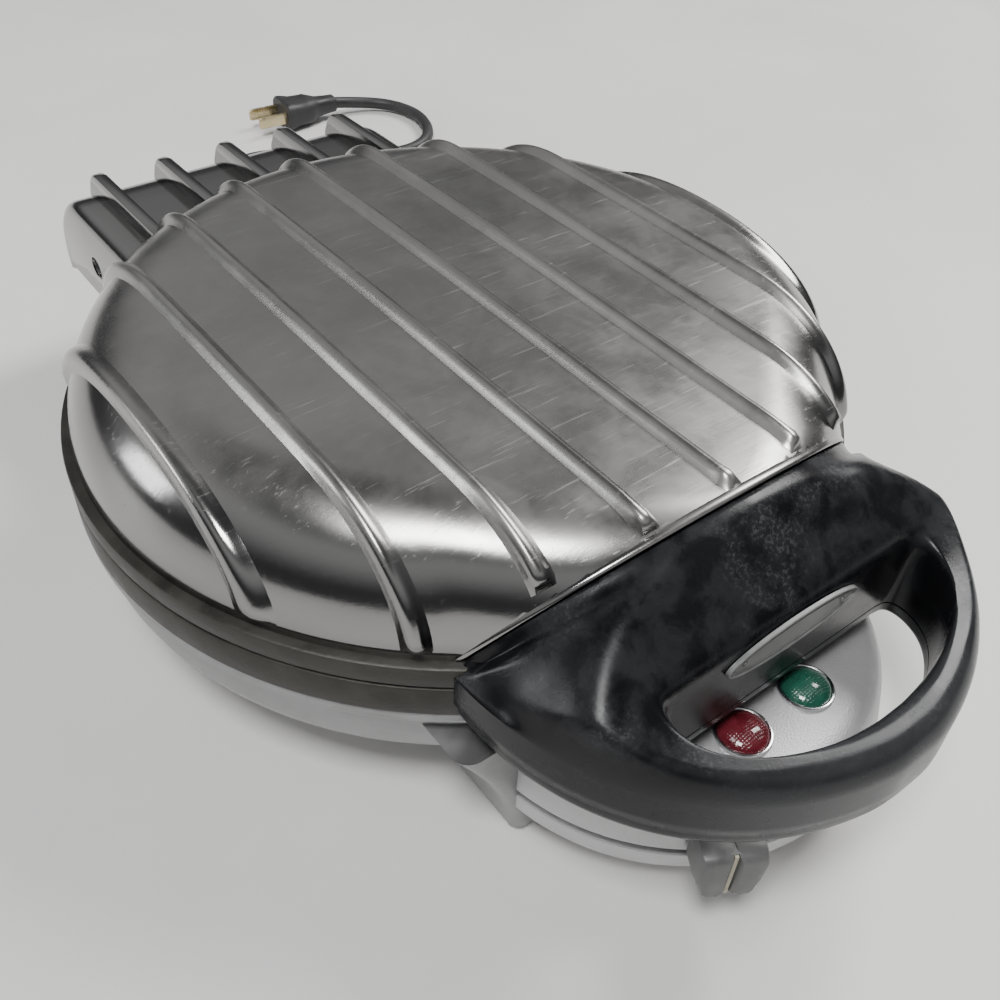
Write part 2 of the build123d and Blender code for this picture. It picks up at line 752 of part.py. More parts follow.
def build_plug():
    sections = [(0, 4.4, 4.4), (12, 5.0, 5.4), (16, 6.5, 8.5), (plug_len, 7.6, 11.0)]
    faces = [plug_plane.offset(d) * RectangleRounded(2 * a, 2 * b, min(a, b) * 0.7) for d, a, b in sections]
    body = loft(faces[:2]) + loft(faces[1:3]) + loft(faces[2:])
    return body


def build_prongs():
    blades = []
    for side in (-1, 1):
        place = plug_plane.offset(plug_len) * Pos(0, side * 6.35, 0)
        blades.append(extrude(place * RectangleRounded(6.3, 1.5, 0.6), amount=16))
    return Compound(blades)


def build_tie():
    # A strap round the turns at the coil's right-hand side.
    x = coil_x + coil_r - coil_turn_step / 2 - 0.4
    y = coil_front_y + coil_r
    inner_w = 2 * cord_r + 2.6
    inner_h = coil_rise + 2 * cord_r + 0.2
    mid_z = cord_z + coil_rise / 2
    strap = RectangleRounded(inner_w + 2 * tie_t, inner_h + 2 * tie_t - 0.02, 2.4)
    strap -= RectangleRounded(inner_w, inner_h, 2.0)
    return Pos(x, y, mid_z) * extrude(Plane.XZ * strap, amount=4.5, both=True)


def terminal_block():
    block = Pos(40, 40, pan_bottom + 5.3) * Box(36, 14, 5.8)
    for i in range(3):
        block -= Pos(28 + i * 12, 40, pan_bottom + 7.5) * Cylinder(2.2, 3)
    return block


def build_base_screws():
    return Compound([Pos(x, y, pan_bottom - 2.8) * screw(3.6, 1.6, 1.55, 6) for x, y in base_screw_places])


def main():
    save(build_dome(), "lid_dome")
    save(build_handle_upper(), "handle_upper")
    save(build_handle_lower(), "handle_lower")
    save(build_handle_screws(), "handle_screws")
    save(build_badge(), "badge_plate")
    save(build_grid(False), "upper_grid")
    save(build_grid_rim(False), "upper_grid_rim")
    save(build_grid(True), "lower_grid")
    save(build_grid_rim(True), "lower_grid_rim")
    save(build_element(cavity_roof + grid_plate + element_r + 0.05), "upper_heating_element")
    save(build_element(cavity_floor - grid_plate - element_r - 0.05), "lower_heating_element")
    save(build_reflector(cavity_roof + grid_plate + 2 * element_r + 3, False), "upper_reflector")
    save(build_reflector(cavity_floor - grid_plate - 2 * element_r - 3, True), "lower_reflector")
    save(build_pan(), "base_pan")
    save(build_base_plate(), "base_plate")
    for name, side, y in (("front_left", -1, leg_front_y), ("front_right", 1, leg_front_y),
                          ("rear_left", -1, leg_rear_y), ("rear_right", 1, leg_rear_y)):
        save(build_leg(side, y), name + "_leg")
        save(build_foot(side, y), name + "_foot")
    save(build_housing_upper(), "control_housing")
    save(build_housing_lower(), "control_housing_base")
    save(build_lens(-1), "red_lens")
    save(build_lens(1), "green_lens")
    save(build_bezels(), "lamp_bezels")
    save(build_neon(-1), "red_neon_lamp")
    save(build_neon(1), "green_neon_lamp")
    save(build_thermostat(), "thermostat")
    save(terminal_block(), "terminal_block")
    save(build_cover(), "hinge_cover")
    save(build_pin(), "hinge_pin")
    save(build_bracket(-1), "hinge_bracket_left")
    save(build_bracket(1), "hinge_bracket_right")
    save(build_lever(), "browning_lever")
    save(build_lever_line(), "lever_pointer")
    save(build_shaft(), "thermostat_shaft")
    save(build_base_screws(), "base_screws")
    save(build_boot(), "cord_boot")
    lead, lead_len = routed_tube(lead_route, cord_r, "cord_lead")
    save(lead, "cord_lead")
    coil, coil_len = build_coil()
    save(coil, "cord_coil")
    tail, tail_len = routed_tube(tail_route, cord_r, "cord_tail")
    save(tail, "cord_tail")
    save(build_tie(), "cord_tie")
    save(build_plug(), "plug_body")
    save(build_prongs(), "plug_prongs")
    print("cord in all", round(lead_len + coil_len + tail_len, 1))


main()
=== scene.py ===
import json
from math import atan2, cos, exp, hypot, log, pi, radians, sin, sqrt

import bmesh
import bpy
from mathutils import Matrix, Vector


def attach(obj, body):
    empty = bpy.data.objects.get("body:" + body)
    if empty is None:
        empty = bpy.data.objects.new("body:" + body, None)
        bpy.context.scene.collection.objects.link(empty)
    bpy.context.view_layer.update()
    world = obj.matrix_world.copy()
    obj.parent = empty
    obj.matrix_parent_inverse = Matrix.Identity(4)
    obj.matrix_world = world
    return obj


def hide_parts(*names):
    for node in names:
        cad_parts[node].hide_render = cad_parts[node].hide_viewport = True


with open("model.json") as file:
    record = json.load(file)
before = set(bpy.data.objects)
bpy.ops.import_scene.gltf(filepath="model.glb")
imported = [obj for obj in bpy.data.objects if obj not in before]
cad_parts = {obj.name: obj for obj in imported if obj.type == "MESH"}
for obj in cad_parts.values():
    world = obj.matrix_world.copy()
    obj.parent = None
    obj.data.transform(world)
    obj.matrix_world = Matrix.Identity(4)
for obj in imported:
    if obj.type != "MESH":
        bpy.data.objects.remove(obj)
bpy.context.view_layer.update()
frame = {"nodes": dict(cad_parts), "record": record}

# Shapes are worked out in millimetres and written to the meshes in metres.
MM = 0.001

# Sizes that the pieces share, in millimetres and degrees
RIB_PITCH = 24.3
RIB_HALF = 2.9
RIB_HIGH = 2.5
RIB_MOST, RIB_SUNK = 2.55, 0.04
DOME_R = 112.0
FLAT_R = 84.0
ROLL = DOME_R - FLAT_R      # the dome's edge rolls over within this
RIM_Z = 59.0
TOP_Z = 90.3
CROWN = 1.0                 # fall of the flat top from its middle to its edge
SHOULDER = TOP_Z - CROWN - RIM_Z
SEAM_HALF = 66.5
SEAM_SLOPE = 0.586          # the seam leans back by this much for each millimetre of height
SEAM_Y, SEAM_Z = -91.0, 59.3
CARRY = 22.0                # the flat top is carried forward by this much in the middle
OPENING_BACK_Y = -130.8
OPENING_HALF = 38.0
HANDLE_LOW_Z = 46.4
SPINDLE_Y = -95.0
LEVER_ANGLE = -30.5
RING_R = 114.9


def placed(name, data):
    """A new object that shows the data, in the scene."""
    made = bpy.data.objects.new(name, data)
    bpy.context.scene.collection.objects.link(made)
    return made


# Camera, at the photograph's angle

CAMERA_AIM = (-13.6, -39.2, 42.0)
CAMERA_AWAY = 303.9


def aim_camera():
    turn, tilt, roll = radians(-39.38), radians(42.52), radians(2.83)
    back = Vector((sin(turn) * cos(tilt), -cos(turn) * cos(tilt), sin(tilt)))
    level = Vector((cos(turn), sin(turn), 0))
    up = back.cross(level)
    right = cos(roll) * level + sin(roll) * up
    top = -sin(roll) * level + cos(roll) * up
    place = Vector(CAMERA_AIM) * MM + back * CAMERA_AWAY * MM
    camera = placed("camera", bpy.data.cameras.new("camera"))
    camera.data.lens = 38.09
    camera.data.sensor_width = 36.0
    camera.data.clip_start = 0.01
    facing = Matrix((right, top, back)).transposed().to_4x4()
    camera.matrix_world = Matrix.Translation(place) @ facing
    bpy.context.scene.camera = camera


aim_camera()


# Finishes

def add(tree, kind, inputs=None, **settings):
    node = tree.nodes.new(kind)
    for key, value in settings.items():
        setattr(node, key, value)
    for key, value in (inputs or {}).items():
        if isinstance(value, bpy.types.NodeSocket):
            tree.links.new(value, node.inputs[key])
        else:
            node.inputs[key].default_value = value
    return node


def effect(name, inputs, outputs):
    tree = bpy.data.node_groups.new(name, "ShaderNodeTree")
    tree.interface.new_socket("Place", in_out="INPUT", socket_type="NodeSocketVector")
    for label, value in inputs:
        socket = tree.interface.new_socket(label, in_out="INPUT", socket_type="NodeSocketFloat")
        socket.default_value = value
    for label in outputs:
        tree.interface.new_socket(label, in_out="OUTPUT", socket_type="NodeSocketFloat")
    return tree, add(tree, "NodeGroupInput").outputs, add(tree, "NodeGroupOutput").inputs


def ranged(tree, value, low, high, out_low=0.0, out_high=1.0):
    ends = {"Value": value, "From Min": low, "From Max": high, "To Min": out_low, "To Max": out_high}
    return add(tree, "ShaderNodeMapRange", ends, interpolation_type="SMOOTHSTEP").outputs[0]


def times(tree, a, b, how="MULTIPLY"):
    return add(tree, "ShaderNodeMath", {0: a, 1: b}, operation=how).outputs[0]


def noise(tree, place, scale, detail, rough=0.5, distortion=0.0):
    inputs = {"Vector": place, "Scale": scale, "Detail": detail, "Roughness": rough,
              "Distortion": distortion}
    return add(tree, "ShaderNodeTexNoise", inputs).outputs[0]


def stain_effect():
    # Cloudy stains, broad and small together.
    tree, given, out = effect("cloudy_stains", [("Scale", 40.0), ("Spread", 0.15)], ["Mask"])
    cloud = noise(tree, given["Place"], given["Scale"], 5.0, 0.62, 0.4)
    low = times(tree, 0.5, given["Spread"], "SUBTRACT")
    high = times(tree, 0.5, given["Spread"], "ADD")
    tree.links.new(ranged(tree, cloud, low, high), out["Mask"])
    return tree


def scratch_effect():
    # Fine wiping scratches that run mostly one way.
    tree, given, out = effect("wiping_scratches", [("Scale", 260.0), ("Stretch", 0.04), ("Turn", 0.5)],
                              ["Mask", "Height"])
    angle = add(tree, "ShaderNodeCombineXYZ", {"Z": given["Turn"]})
    stretch = add(tree, "ShaderNodeCombineXYZ", {"X": given["Stretch"], "Y": 1.0, "Z": 1.0})
    drawn = add(tree, "ShaderNodeMapping", {"Vector": given["Place"], "Rotation": angle.outputs[0],
                                            "Scale": stretch.outputs[0]})
    lines = noise(tree, drawn.outputs[0], given["Scale"], 3.0, 0.7)
    tree.links.new(ranged(tree, lines, 0.58, 0.72), out["Mask"])
    tree.links.new(lines, out["Height"])
    return tree


def grain_effect():
    # Close grain of a casting or a moulding.
    tree, given, out = effect("close_grain", [("Scale", 900.0), ("Depth", 1.0)], ["Height"])
    grain = noise(tree, given["Place"], given["Scale"], 4.0, 0.65)
    tree.links.new(times(tree, grain, given["Depth"]), out["Height"])
    return tree


def dust_effect():
    # Specks of dust that lie in broad patches.
    tree, given, out = effect("settled_dust", [("Scale", 300.0), ("Cover", 0.3)], ["Mask"])
    specks = noise(tree, given["Place"], given["Scale"], 6.0, 0.75)
    broad = noise(tree, given["Place"], 28.0, 3.0)
    edge = times(tree, 0.78, times(tree, given["Cover"], 0.4), "SUBTRACT")
    shown = ranged(tree, specks, edge, times(tree, edge, 0.08, "ADD"))
    tree.links.new(times(tree, shown, ranged(tree, broad, 0.42, 0.66)), out["Mask"])
    return tree


STAINS, SCRATCHES, GRAIN, DUST = stain_effect(), scratch_effect(), grain_effect(), dust_effect()


def use(tree, group, coords, **values):
    node = add(tree, "ShaderNodeGroup", node_tree=group)
    tree.links.new(coords, node.inputs["Place"])
    for key, value in values.items():
        node.inputs[key].default_value = value
    return node


def blend_colour(tree, mask, first, second, share=1.0):
    """From the first colour to the second, as far as the mask and the share go."""
    mix = add(tree, "ShaderNodeMix", data_type="RGBA")
    if share != 1.0:
        mask = times(tree, mask, share)
    tree.links.new(mask, mix.inputs["Factor"])
    for slot_name, colour in (("A", first), ("B", second)):
        socket = [s for s in mix.inputs if s.name == slot_name and s.type == "RGBA"][0]
        if isinstance(colour, bpy.types.NodeSocket):
            tree.links.new(colour, socket)
        else:
            socket.default_value = (*colour, 1.0)
    return [s for s in mix.outputs if s.type == "RGBA"][0]


# How far bumps stand out, in metres, and how strongly plain scratches do
RELIEF = 0.0006
FINE_RELIEF = 0.0003
SCRATCH_STRENGTH = 0.03


def now(shader, label):
    # What feeds an input of the shader so far.
    return shader.inputs[label].links[0].from_socket


def finish(name, dark, light, rough, metallic=0.0, stains=(40.0, 0.15), scratches=None, grain=None,
           dust=None, **extra):
    """One finish between two colours and two roughnesses.

    stains is (scale, spread), scratches (scale, share, turn), grain (scale, strength) and dust
    (scale, cover, colour).
    """
    material = bpy.data.materials.new(name)
    material.use_nodes = True
    tree = material.node_tree
    shader = tree.nodes["Principled BSDF"]
    coords = add(tree, "ShaderNodeTexCoord").outputs["Object"]
    cloud = use(tree, STAINS, coords, Scale=stains[0], Spread=stains[1]).outputs["Mask"]
    colour = blend_colour(tree, cloud, dark, light)
    roughness = ranged(tree, cloud, 0.0, 1.0, rough[0], rough[1])
    height = None
    if scratches:
        lines = use(tree, SCRATCHES, coords, Scale=scratches[0], Turn=scratches[2])
        colour = blend_colour(tree, lines.outputs["Mask"], colour, tuple(min(1, c * 1.3) for c in light),
                              scratches[1])
        roughness = times(tree, roughness, times(tree, lines.outputs["Mask"], 0.12), "ADD")
        height = lines.outputs["Height"]
    if grain:
        close = use(tree, GRAIN, coords, Scale=grain[0]).outputs["Height"]
        height = close if height is None else times(tree, height, close, "ADD")
    if dust:
        film = use(tree, DUST, coords, Scale=dust[0], Cover=dust[1]).outputs["Mask"]
        colour = blend_colour(tree, film, colour, dust[2], 0.6)
        roughness = times(tree, roughness, times(tree, film, 0.3), "ADD")
    tree.links.new(colour, shader.inputs["Base Color"])
    tree.links.new(roughness, shader.inputs["Roughness"])
    if height is not None:
        strength = grain[1] if grain else SCRATCH_STRENGTH
        bump = add(tree, "ShaderNodeBump", {"Height": height, "Strength": strength, "Distance": RELIEF})
        tree.links.new(bump.outputs[0], shader.inputs["Normal"])
    shader.inputs["Metallic"].default_value = metallic
    for key, value in extra.items():
        shader.inputs[key.replace("_", " ")].default_value = value
    return material


def reopened(material):
    """A finish's tree, its shader and the place on the object, for what comes on top of it."""
    tree = material.node_tree
    return tree, tree.nodes["Principled BSDF"], add(tree, "ShaderNodeTexCoord").outputs["Object"]


def parts_of(tree, vector):
    return add(tree, "ShaderNodeSeparateXYZ", {0: vector}).outputs


def polished_lid():
    # Satin and stained on the flat top, polished where the edge rolls over and painted darker there as
    # shade.
    material = finish("polished_lid", (0.33, 0.325, 0.315), (0.43, 0.425, 0.415), (0.13, 0.18), 1.0,
                      stains=(30.0, 0.3), scratches=(900.0, 0.14, 0.9), dust=(500.0, 0.08, (0.45,) * 3))
    tree, shader, coords = reopened(material)
    top = ranged(tree, parts_of(tree, coords)["Z"], 0.080, 0.0895)
    blotch = use(tree, STAINS, coords, Scale=62.0, Spread=0.2).outputs["Mask"]
    satin = times(tree, top, ranged(tree, blotch, 0.0, 1.0, 0.12, 0.19))
    tree.links.new(times(tree, now(shader, "Roughness"), satin, "ADD"), shader.inputs["Roughness"])
    # Painted shade: the rolled edge below the top gets a darker colour, standing for the dark room that it
    # reflects.
    colour = blend_colour(tree, top, (0.26, 0.26, 0.255), now(shader, "Base Color"))
    colour = blend_colour(tree, times(tree, top, blotch), colour, (0.30, 0.29, 0.27), 0.28)
    tree.links.new(colour, shader.inputs["Base Color"])
    return material


def phenolic_wear_and_sheen():
    # Black moulding, dulled by hands along the front and with pale wear on top, both lighter partly as
    # painted sheen.
    material = finish("phenolic_wear_and_sheen", (0.004, 0.004, 0.005), (0.007, 0.0075, 0.009), (0.2, 0.3), 0.0,
                      stains=(55.0, 0.2), grain=(1400.0, 0.06), dust=(420.0, 0.03, (0.1, 0.1, 0.11)),
                      Specular_IOR_Level=0.24)
    tree, shader, coords = reopened(material)
    place = parts_of(tree, coords)
    high = ranged(tree, place["Z"], 0.060, 0.070)
    # Painted sheen: a lighter grey along the front of the loop, which also stands for dulling by hands.
    front = ranged(tree, place["Y"], -0.138, -0.165)
    patch = use(tree, STAINS, coords, Scale=110.0, Spread=0.12).outputs["Mask"]
    speck = use(tree, DUST, coords, Scale=900.0, Cover=0.7).outputs["Mask"]
    # Pale wear on top, made lighter partly as a painted sheen on the ridge.
    wear_and_sheen = times(tree, times(tree, high, patch), ranged(tree, speck, 0.0, 1.0, 0.25, 1.0))
    colour = blend_colour(tree, wear_and_sheen, now(shader, "Base Color"), (0.14, 0.146, 0.155), 0.36)
    colour = blend_colour(tree, front, colour, (0.1, 0.104, 0.11), 0.24)
    tree.links.new(colour, shader.inputs["Base Color"])
    rough = times(tree, now(shader, "Roughness"), times(tree, wear_and_sheen, 0.18), "ADD")
    tree.links.new(rough, shader.inputs["Roughness"])
    return material


def hatched_glass(name, dark, light):
    # A coloured moulded lens with a fine waffle pattern pressed into it.
    material = finish(name, dark, light, (0.08, 0.14), 0.0, stains=(200.0, 0.25), Coat_Weight=1.0,
                      Coat_Roughness=0.05, Transmission_Weight=0.25, IOR=1.5)
    tree, shader, coords = reopened(material)
    waves = [add(tree, "ShaderNodeTexWave", {"Vector": coords, "Scale": 420.0},
                 bands_direction=direction).outputs["Fac"] for direction in ("X", "Y")]
    bump = add(tree, "ShaderNodeBump", {"Height": times(tree, *waves), "Strength": 0.3,
                                        "Distance": FINE_RELIEF})
    tree.links.new(bump.outputs[0], shader.inputs["Normal"])
    return material


def sparkle_lacquer():
    # Silver lacquer with flakes that catch the light.
    material = finish("sparkle_lacquer", (0.50, 0.50, 0.505), (0.60, 0.60, 0.605), (0.34, 0.46), 0.5,
                      stains=(24.0, 0.2), dust=(600.0, 0.3, (0.6,) * 3))
    tree, shader, coords = reopened(material)
    flakes = add(tree, "ShaderNodeTexVoronoi", {"Vector": coords, "Scale": 2200.0}).outputs["Distance"]
    glint = ranged(tree, flakes, 0.28, 0.08)
    colour = blend_colour(tree, glint, now(shader, "Base Color"), (0.8, 0.8, 0.82), 0.5)
    tree.links.new(colour, shader.inputs["Base Color"])
    bump = add(tree, "ShaderNodeBump", {"Height": flakes, "Strength": 0.25, "Distance": FINE_RELIEF})
    tree.links.new(bump.outputs[0], shader.inputs["Normal"])
    return material


FINISHES = {
    "polished_casting": polished_lid(),
    "black_phenolic": phenolic_wear_and_sheen(),
    "steel": finish("zinc_steel", (0.42, 0.42, 0.43), (0.62, 0.62, 0.63), (0.25, 0.4), 1.0,
                    scratches=(500.0, 0.2, 0.3)),
    "badge": finish("etched_plate", (0.17, 0.175, 0.17), (0.26, 0.265, 0.26), (0.4, 0.55), 0.35,
                    stains=(160.0, 0.2), scratches=(900.0, 0.3, 0.0)),
    "grid_casting": finish("seasoned_casting", (0.034, 0.032, 0.028), (0.064, 0.06, 0.053), (0.38, 0.52),
                           0.6, stains=(70.0, 0.2), grain=(700.0, 0.16),
                           dust=(500.0, 0.35, (0.3, 0.28, 0.25))),
    "element_sheath": finish("heated_sheath", (0.09, 0.08, 0.08), (0.17, 0.15, 0.14), (0.35, 0.6), 0.8,
                             stains=(120.0, 0.2), grain=(1500.0, 0.08)),
    "tin_sheet": finish("bright_sheet", (0.48,) * 3, (0.64,) * 3, (0.22, 0.36), 1.0,
                        stains=(60.0, 0.2), scratches=(380.0, 0.25, 1.2)),
    "pan_aluminium": finish("satin_pan", (0.27,) * 3, (0.37, 0.37, 0.375), (0.34, 0.46), 0.8,
                            stains=(45.0, 0.2), scratches=(300.0, 0.2, 0.2), dust=(500.0, 0.3, (0.6,) * 3)),
    "housing_silver": sparkle_lacquer(),
    "red_glass": hatched_glass("red_glass", (0.13, 0.012, 0.02), (0.24, 0.03, 0.045)),
    "green_glass": hatched_glass("green_glass", (0.012, 0.085, 0.055), (0.03, 0.17, 0.11)),
    "chrome_trim": finish("bright_ring", (0.6, 0.6, 0.61), (0.75, 0.75, 0.76), (0.14, 0.24), 1.0,
                          stains=(200.0, 0.2), scratches=(800.0, 0.2, 0.7)),
    "lamp_glass": finish("neon_tube", (0.8, 0.5, 0.35), (0.9, 0.62, 0.45), (0.08, 0.15), 0.0,
                         stains=(300.0, 0.2), Transmission_Weight=0.8),
    "switch_body": finish("ceramic_body", (0.62, 0.59, 0.52), (0.74, 0.71, 0.65), (0.5, 0.7), 0.0,
                          stains=(150.0, 0.2), grain=(1200.0, 0.12)),
    "grey_phenolic": finish("grey_moulding", (0.085, 0.088, 0.086), (0.13, 0.134, 0.13), (0.36, 0.5), 0.0,
                            stains=(90.0, 0.2), grain=(1300.0, 0.08), dust=(500.0, 0.4, (0.4, 0.4, 0.38))),
    "cream_mark": finish("cream_paint", (0.36, 0.34, 0.25), (0.5, 0.47, 0.36), (0.4, 0.6), 0.0,
                         stains=(260.0, 0.15), grain=(2000.0, 0.1)),
    "cord_rubber": finish("black_rubber", (0.022, 0.022, 0.023), (0.04, 0.04, 0.042), (0.45, 0.62), 0.0,
                          stains=(80.0, 0.2), grain=(1600.0, 0.12), dust=(600.0, 0.4, (0.3,) * 3)),
    "tie_plastic": finish("wire_tie", (0.02,) * 3, (0.035,) * 3, (0.35, 0.5), 0.0,
                          stains=(200.0, 0.2), grain=(1800.0, 0.1)),
    "brass_blades": finish("plated_blades", (0.52, 0.44, 0.26), (0.66, 0.57, 0.36), (0.2, 0.34), 1.0,
                           stains=(220.0, 0.2), scratches=(900.0, 0.25, 0.1)),
    "foot_rubber": finish("foot_rubber", (0.03, 0.03, 0.032), (0.05, 0.05, 0.052), (0.6, 0.8), 0.0,
                          stains=(150.0, 0.2), grain=(1500.0, 0.15)),
}


# Mesh making

def strip(rows, ring=False, loop=False, caps=False):
    """Faces over rows of points. ring closes each row, loop joins the last row to the first."""
    count = len(rows[0])
    points = [tuple(p) for row in rows for p in row]
    faces = []
    for i in range(len(rows) if loop else len(rows) - 1):
        nxt = (i + 1) % len(rows)
        for j in range(count if ring else count - 1):
            k = (j + 1) % count
            faces.append((i * count + j, i * count + k, nxt * count + k, nxt * count + j))
    if caps:
        last = (len(rows) - 1) * count
        faces.append(tuple(reversed(range(count))))
        faces.append(tuple(range(last, last + count)))
    return points, faces


def full_turn(steps):
    return [2 * pi * i / steps for i in range(steps)]


def turned(profile, centre=(0, 0), steps=96):
    """A lathe form: the profile of (radius, height) turned about an upright line."""
    x, y = centre
    return strip([[(x + radius * cos(a), y + radius * sin(a), z) for a in full_turn(steps)]
                  for radius, z in profile], ring=True)


def rounded_ring(cx, cy, half_x, half_y, corner, z, per=6):
    """A level rectangle with round corners, per points to a corner."""
    ring = []
    for k in range(4):
        x = (half_x - corner) * (1 if k in (0, 3) else -1)
        y = (half_y - corner) * (1 if k < 2 else -1)
        for s in range(per):
            a = pi / 2 * (k + s / (per - 1))
            ring.append((cx + x + corner * cos(a), cy + y + corner * sin(a), z))
    return ring


def moved(part, matrix):
    points, faces = part
    return [tuple(matrix @ Vector(p)) for p in points], faces


def joined(*parts):
    points, faces = [], []
    for more_points, more_faces in parts:
        start = len(points)
        points += more_points
        faces += [tuple(i + start for i in face) for face in more_faces]
    return points, faces


def dress(piece, body, slot_name, nodes):
    piece.data.materials.clear()
    piece.data.materials.append(FINISHES[slot_name])
    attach(piece, body)
    if nodes:
        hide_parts(*nodes)
    return piece


def shade(mesh, sharp):
    for polygon in mesh.polygons:
        polygon.use_smooth = True
    mesh.set_sharp_from_angle(angle=radians(sharp))


def piece(name, part, body, slot_name, nodes=(), sharp=38, bevel=0.0):
    """A part as a Blender object on its body. nodes are those that it stands for."""
    points, faces = part
    mesh = bpy.data.meshes.new(name)
    mesh.from_pydata([tuple(c * MM for c in p) for p in points], [], faces)
    work = bmesh.new()
    work.from_mesh(mesh)
    bmesh.ops.remove_doubles(work, verts=work.verts, dist=2e-6)
    bmesh.ops.recalc_face_normals(work, faces=work.faces)
    work.to_mesh(mesh)
    work.free()
    shade(mesh, sharp)
    made = placed(name, mesh)
    if bevel:
        edge = made.modifiers.new("edges", "BEVEL")
        edge.width = bevel * MM
        edge.segments = 3
        edge.limit_method = "ANGLE"
        edge.angle_limit = radians(35)
        edge.harden_normals = False
    return dress(made, body, slot_name, nodes)


def walled(made, thickness):
    """Gives an open skin the thickness of its casting, inwards."""
    wall = made.modifiers.new("wall", "SOLIDIFY")
    wall.thickness = thickness * MM
    wall.offset = -1.0


# Lid

def smooth(value):
    value = min(max(value, 0.0), 1.0)
    return value * value * (3 - 2 * value)


def dome_height(radius):
    if radius <= FLAT_R:
        return TOP_Z - CROWN * (radius / FLAT_R) ** 2
    share = min((radius - FLAT_R) / ROLL, 1.0)
    return RIM_Z + SHOULDER * sqrt(max(1 - share * share, 0.0))


def carried(x, y):
    # How far the flat top is carried forward, so that the lid keeps its height up to the seam.
    side = min(abs(x) / SEAM_HALF, 1.0)
    return CARRY * (1 - side) ** 1.1 * smooth((-y - 60) / 45)


def lid_height(x, y):
    return dome_height(hypot(x, y) - carried(x, y))


def seam_point(x):
    """Where the leaning plane of the seam meets the lid, by halving."""
    front, behind = -125.0, -60.0
    for _ in range(34):
        y = (front + behind) / 2
        if y - SEAM_Y + SEAM_SLOPE * (lid_height(x, y) - SEAM_Z) > 0:
            behind = y
        else:
            front = y
    return y, lid_height(x, y)


def lid_skin():
    steps = 300
    radii = [0, 12, 30, 50, 66, 76, FLAT_R] + [FLAT_R + ROLL * sin(radians(a)) for a in range(5, 91, 5)]
    rows = []
    for target in radii:
        row = []
        for turn in full_turn(steps):
            radius = target
            for _ in range(25):
                radius = target + carried(radius * cos(turn), radius * sin(turn))
            row.append((radius * cos(turn), radius * sin(turn), dome_height(target)))
        rows.append(row)
    return strip(rows, ring=True)


def roll_point(x, side, angle):
    # On the roll of the edge, at an angle up from the rim.
    r = FLAT_R + ROLL * cos(radians(angle))
    return Vector((x, side * sqrt(max(r * r - x * x, 1.0)), RIM_Z + SHOULDER * sin(radians(angle))))


def slice_points(x, front_at_seam):
    """Points of the lid's surface along one fore-and-aft slice."""
    reach = sqrt(max(108.0 ** 2 - x * x, 4.0))
    if front_at_seam:
        start = seam_point(x)[0] + 2.2
        front = []
        middle = [start * (1 - i / 60) for i in range(60)]
    else:
        front = [roll_point(x, -1, 4 + 27 * i / 12) for i in range(12)]
        middle = [-reach * (1 - i / 50) for i in range(50)]
    middle += [reach * i / 60 for i in range(61)]
    back = [roll_point(x, 1, 31 - 27 * i / 12) for i in range(1, 13)]
    return front + [Vector((x, y, lid_height(x, y))) for y in middle] + back


def lid_rib(x):
    """One rib: a round bead that leaves the skin smoothly and ends in a small knob."""
    at_seam = abs(x) < SEAM_HALF
    across = [RIB_HALF * (-1 + i / 6) for i in range(13)]
    last = len(across) - 1
    grid = [slice_points(x + u, at_seam) for u in across]
    middle = grid[last // 2]
    count = len(middle)
    run = [0.0]
    for a, b in zip(middle, middle[1:]):
        run.append(run[-1] + (b - a).length)
    rows = []
    for j in range(count):
        ahead, behind = min(j + 1, count - 1), max(j - 1, 0)
        near, far = run[j], run[-1] - run[j]
        rise = 1.0
        for distance, length in ((near, 3.4 if at_seam else 7.0), (far, 7.0)):
            if distance < length:
                rise *= sqrt(max(1 - (1 - distance / length) ** 2, 0.0))
        knob = 1 + 0.2 * exp(-((near - 3.2) / 2.2) ** 2)
        row = []
        for i, u in enumerate(across):
            right, left = min(i + 1, last), max(i - 1, 0)
            normal = (grid[right][j] - grid[left][j]).cross(grid[i][ahead] - grid[i][behind]).normalized()
            bead = RIB_HIGH * (1 - (u / RIB_HALF) ** 2) ** 1.35 * rise * knob
            row.append(grid[i][j] + normal * (min(bead, RIB_MOST) - RIB_SUNK))
        rows.append(row)
    return strip(rows, ring=True, caps=True)


def seam_lip():
    """The narrow bright edge of the lid along the handle."""
    rows = []
    for i in range(81):
        x = (-1 + i / 40) * (SEAM_HALF - 0.8)
        y, z = seam_point(x)
        ahead = Vector((x + 0.5, *seam_point(x + 0.5)))
        along = (ahead - Vector((x, y, z))).normalized()
        back = Vector((0, 1, 0)) - along * along.y
        up = along.cross(back).normalized() * -1
        if up.z < 0:
            up = -up
        centre = Vector((x, y + 0.9, z + 0.2))
        rows.append([centre + back * 1.3 * cos(a) + up * 0.6 * sin(a) for a in full_turn(10)])
    return strip(rows, ring=True, caps=True)


def cut_lid():
    # The skin in front of the seam plane goes, and the lid stays open below for the grid.
    points, faces = lid_skin()
    work = bmesh.new()
    made = [work.verts.new(p) for p in points]
    for face in faces:
        work.faces.new([made[i] for i in face])
    bmesh.ops.remove_doubles(work, verts=work.verts, dist=0.002)
    bmesh.ops.bisect_plane(work, geom=work.verts[:] + work.edges[:] + work.faces[:], clear_outer=True,
                           plane_co=(0, SEAM_Y, SEAM_Z), plane_no=(0, -1, -SEAM_SLOPE))
    work.verts.index_update()
    result = [tuple(v.co) for v in work.verts], [tuple(v.index for v in f.verts) for f in work.faces]
    work.free()
    return result


walled(piece("ribbed_lid", cut_lid(), "lid", "polished_casting", ["lid_dome"], sharp=50), 2.6)
piece("lid_ribs", joined(*[lid_rib((i - 4) * RIB_PITCH) for i in range(9)]), "lid", "polished_casting",
      sharp=60)
piece("seam_lip", seam_lip(), "lid", "polished_casting", sharp=60)


# Handle

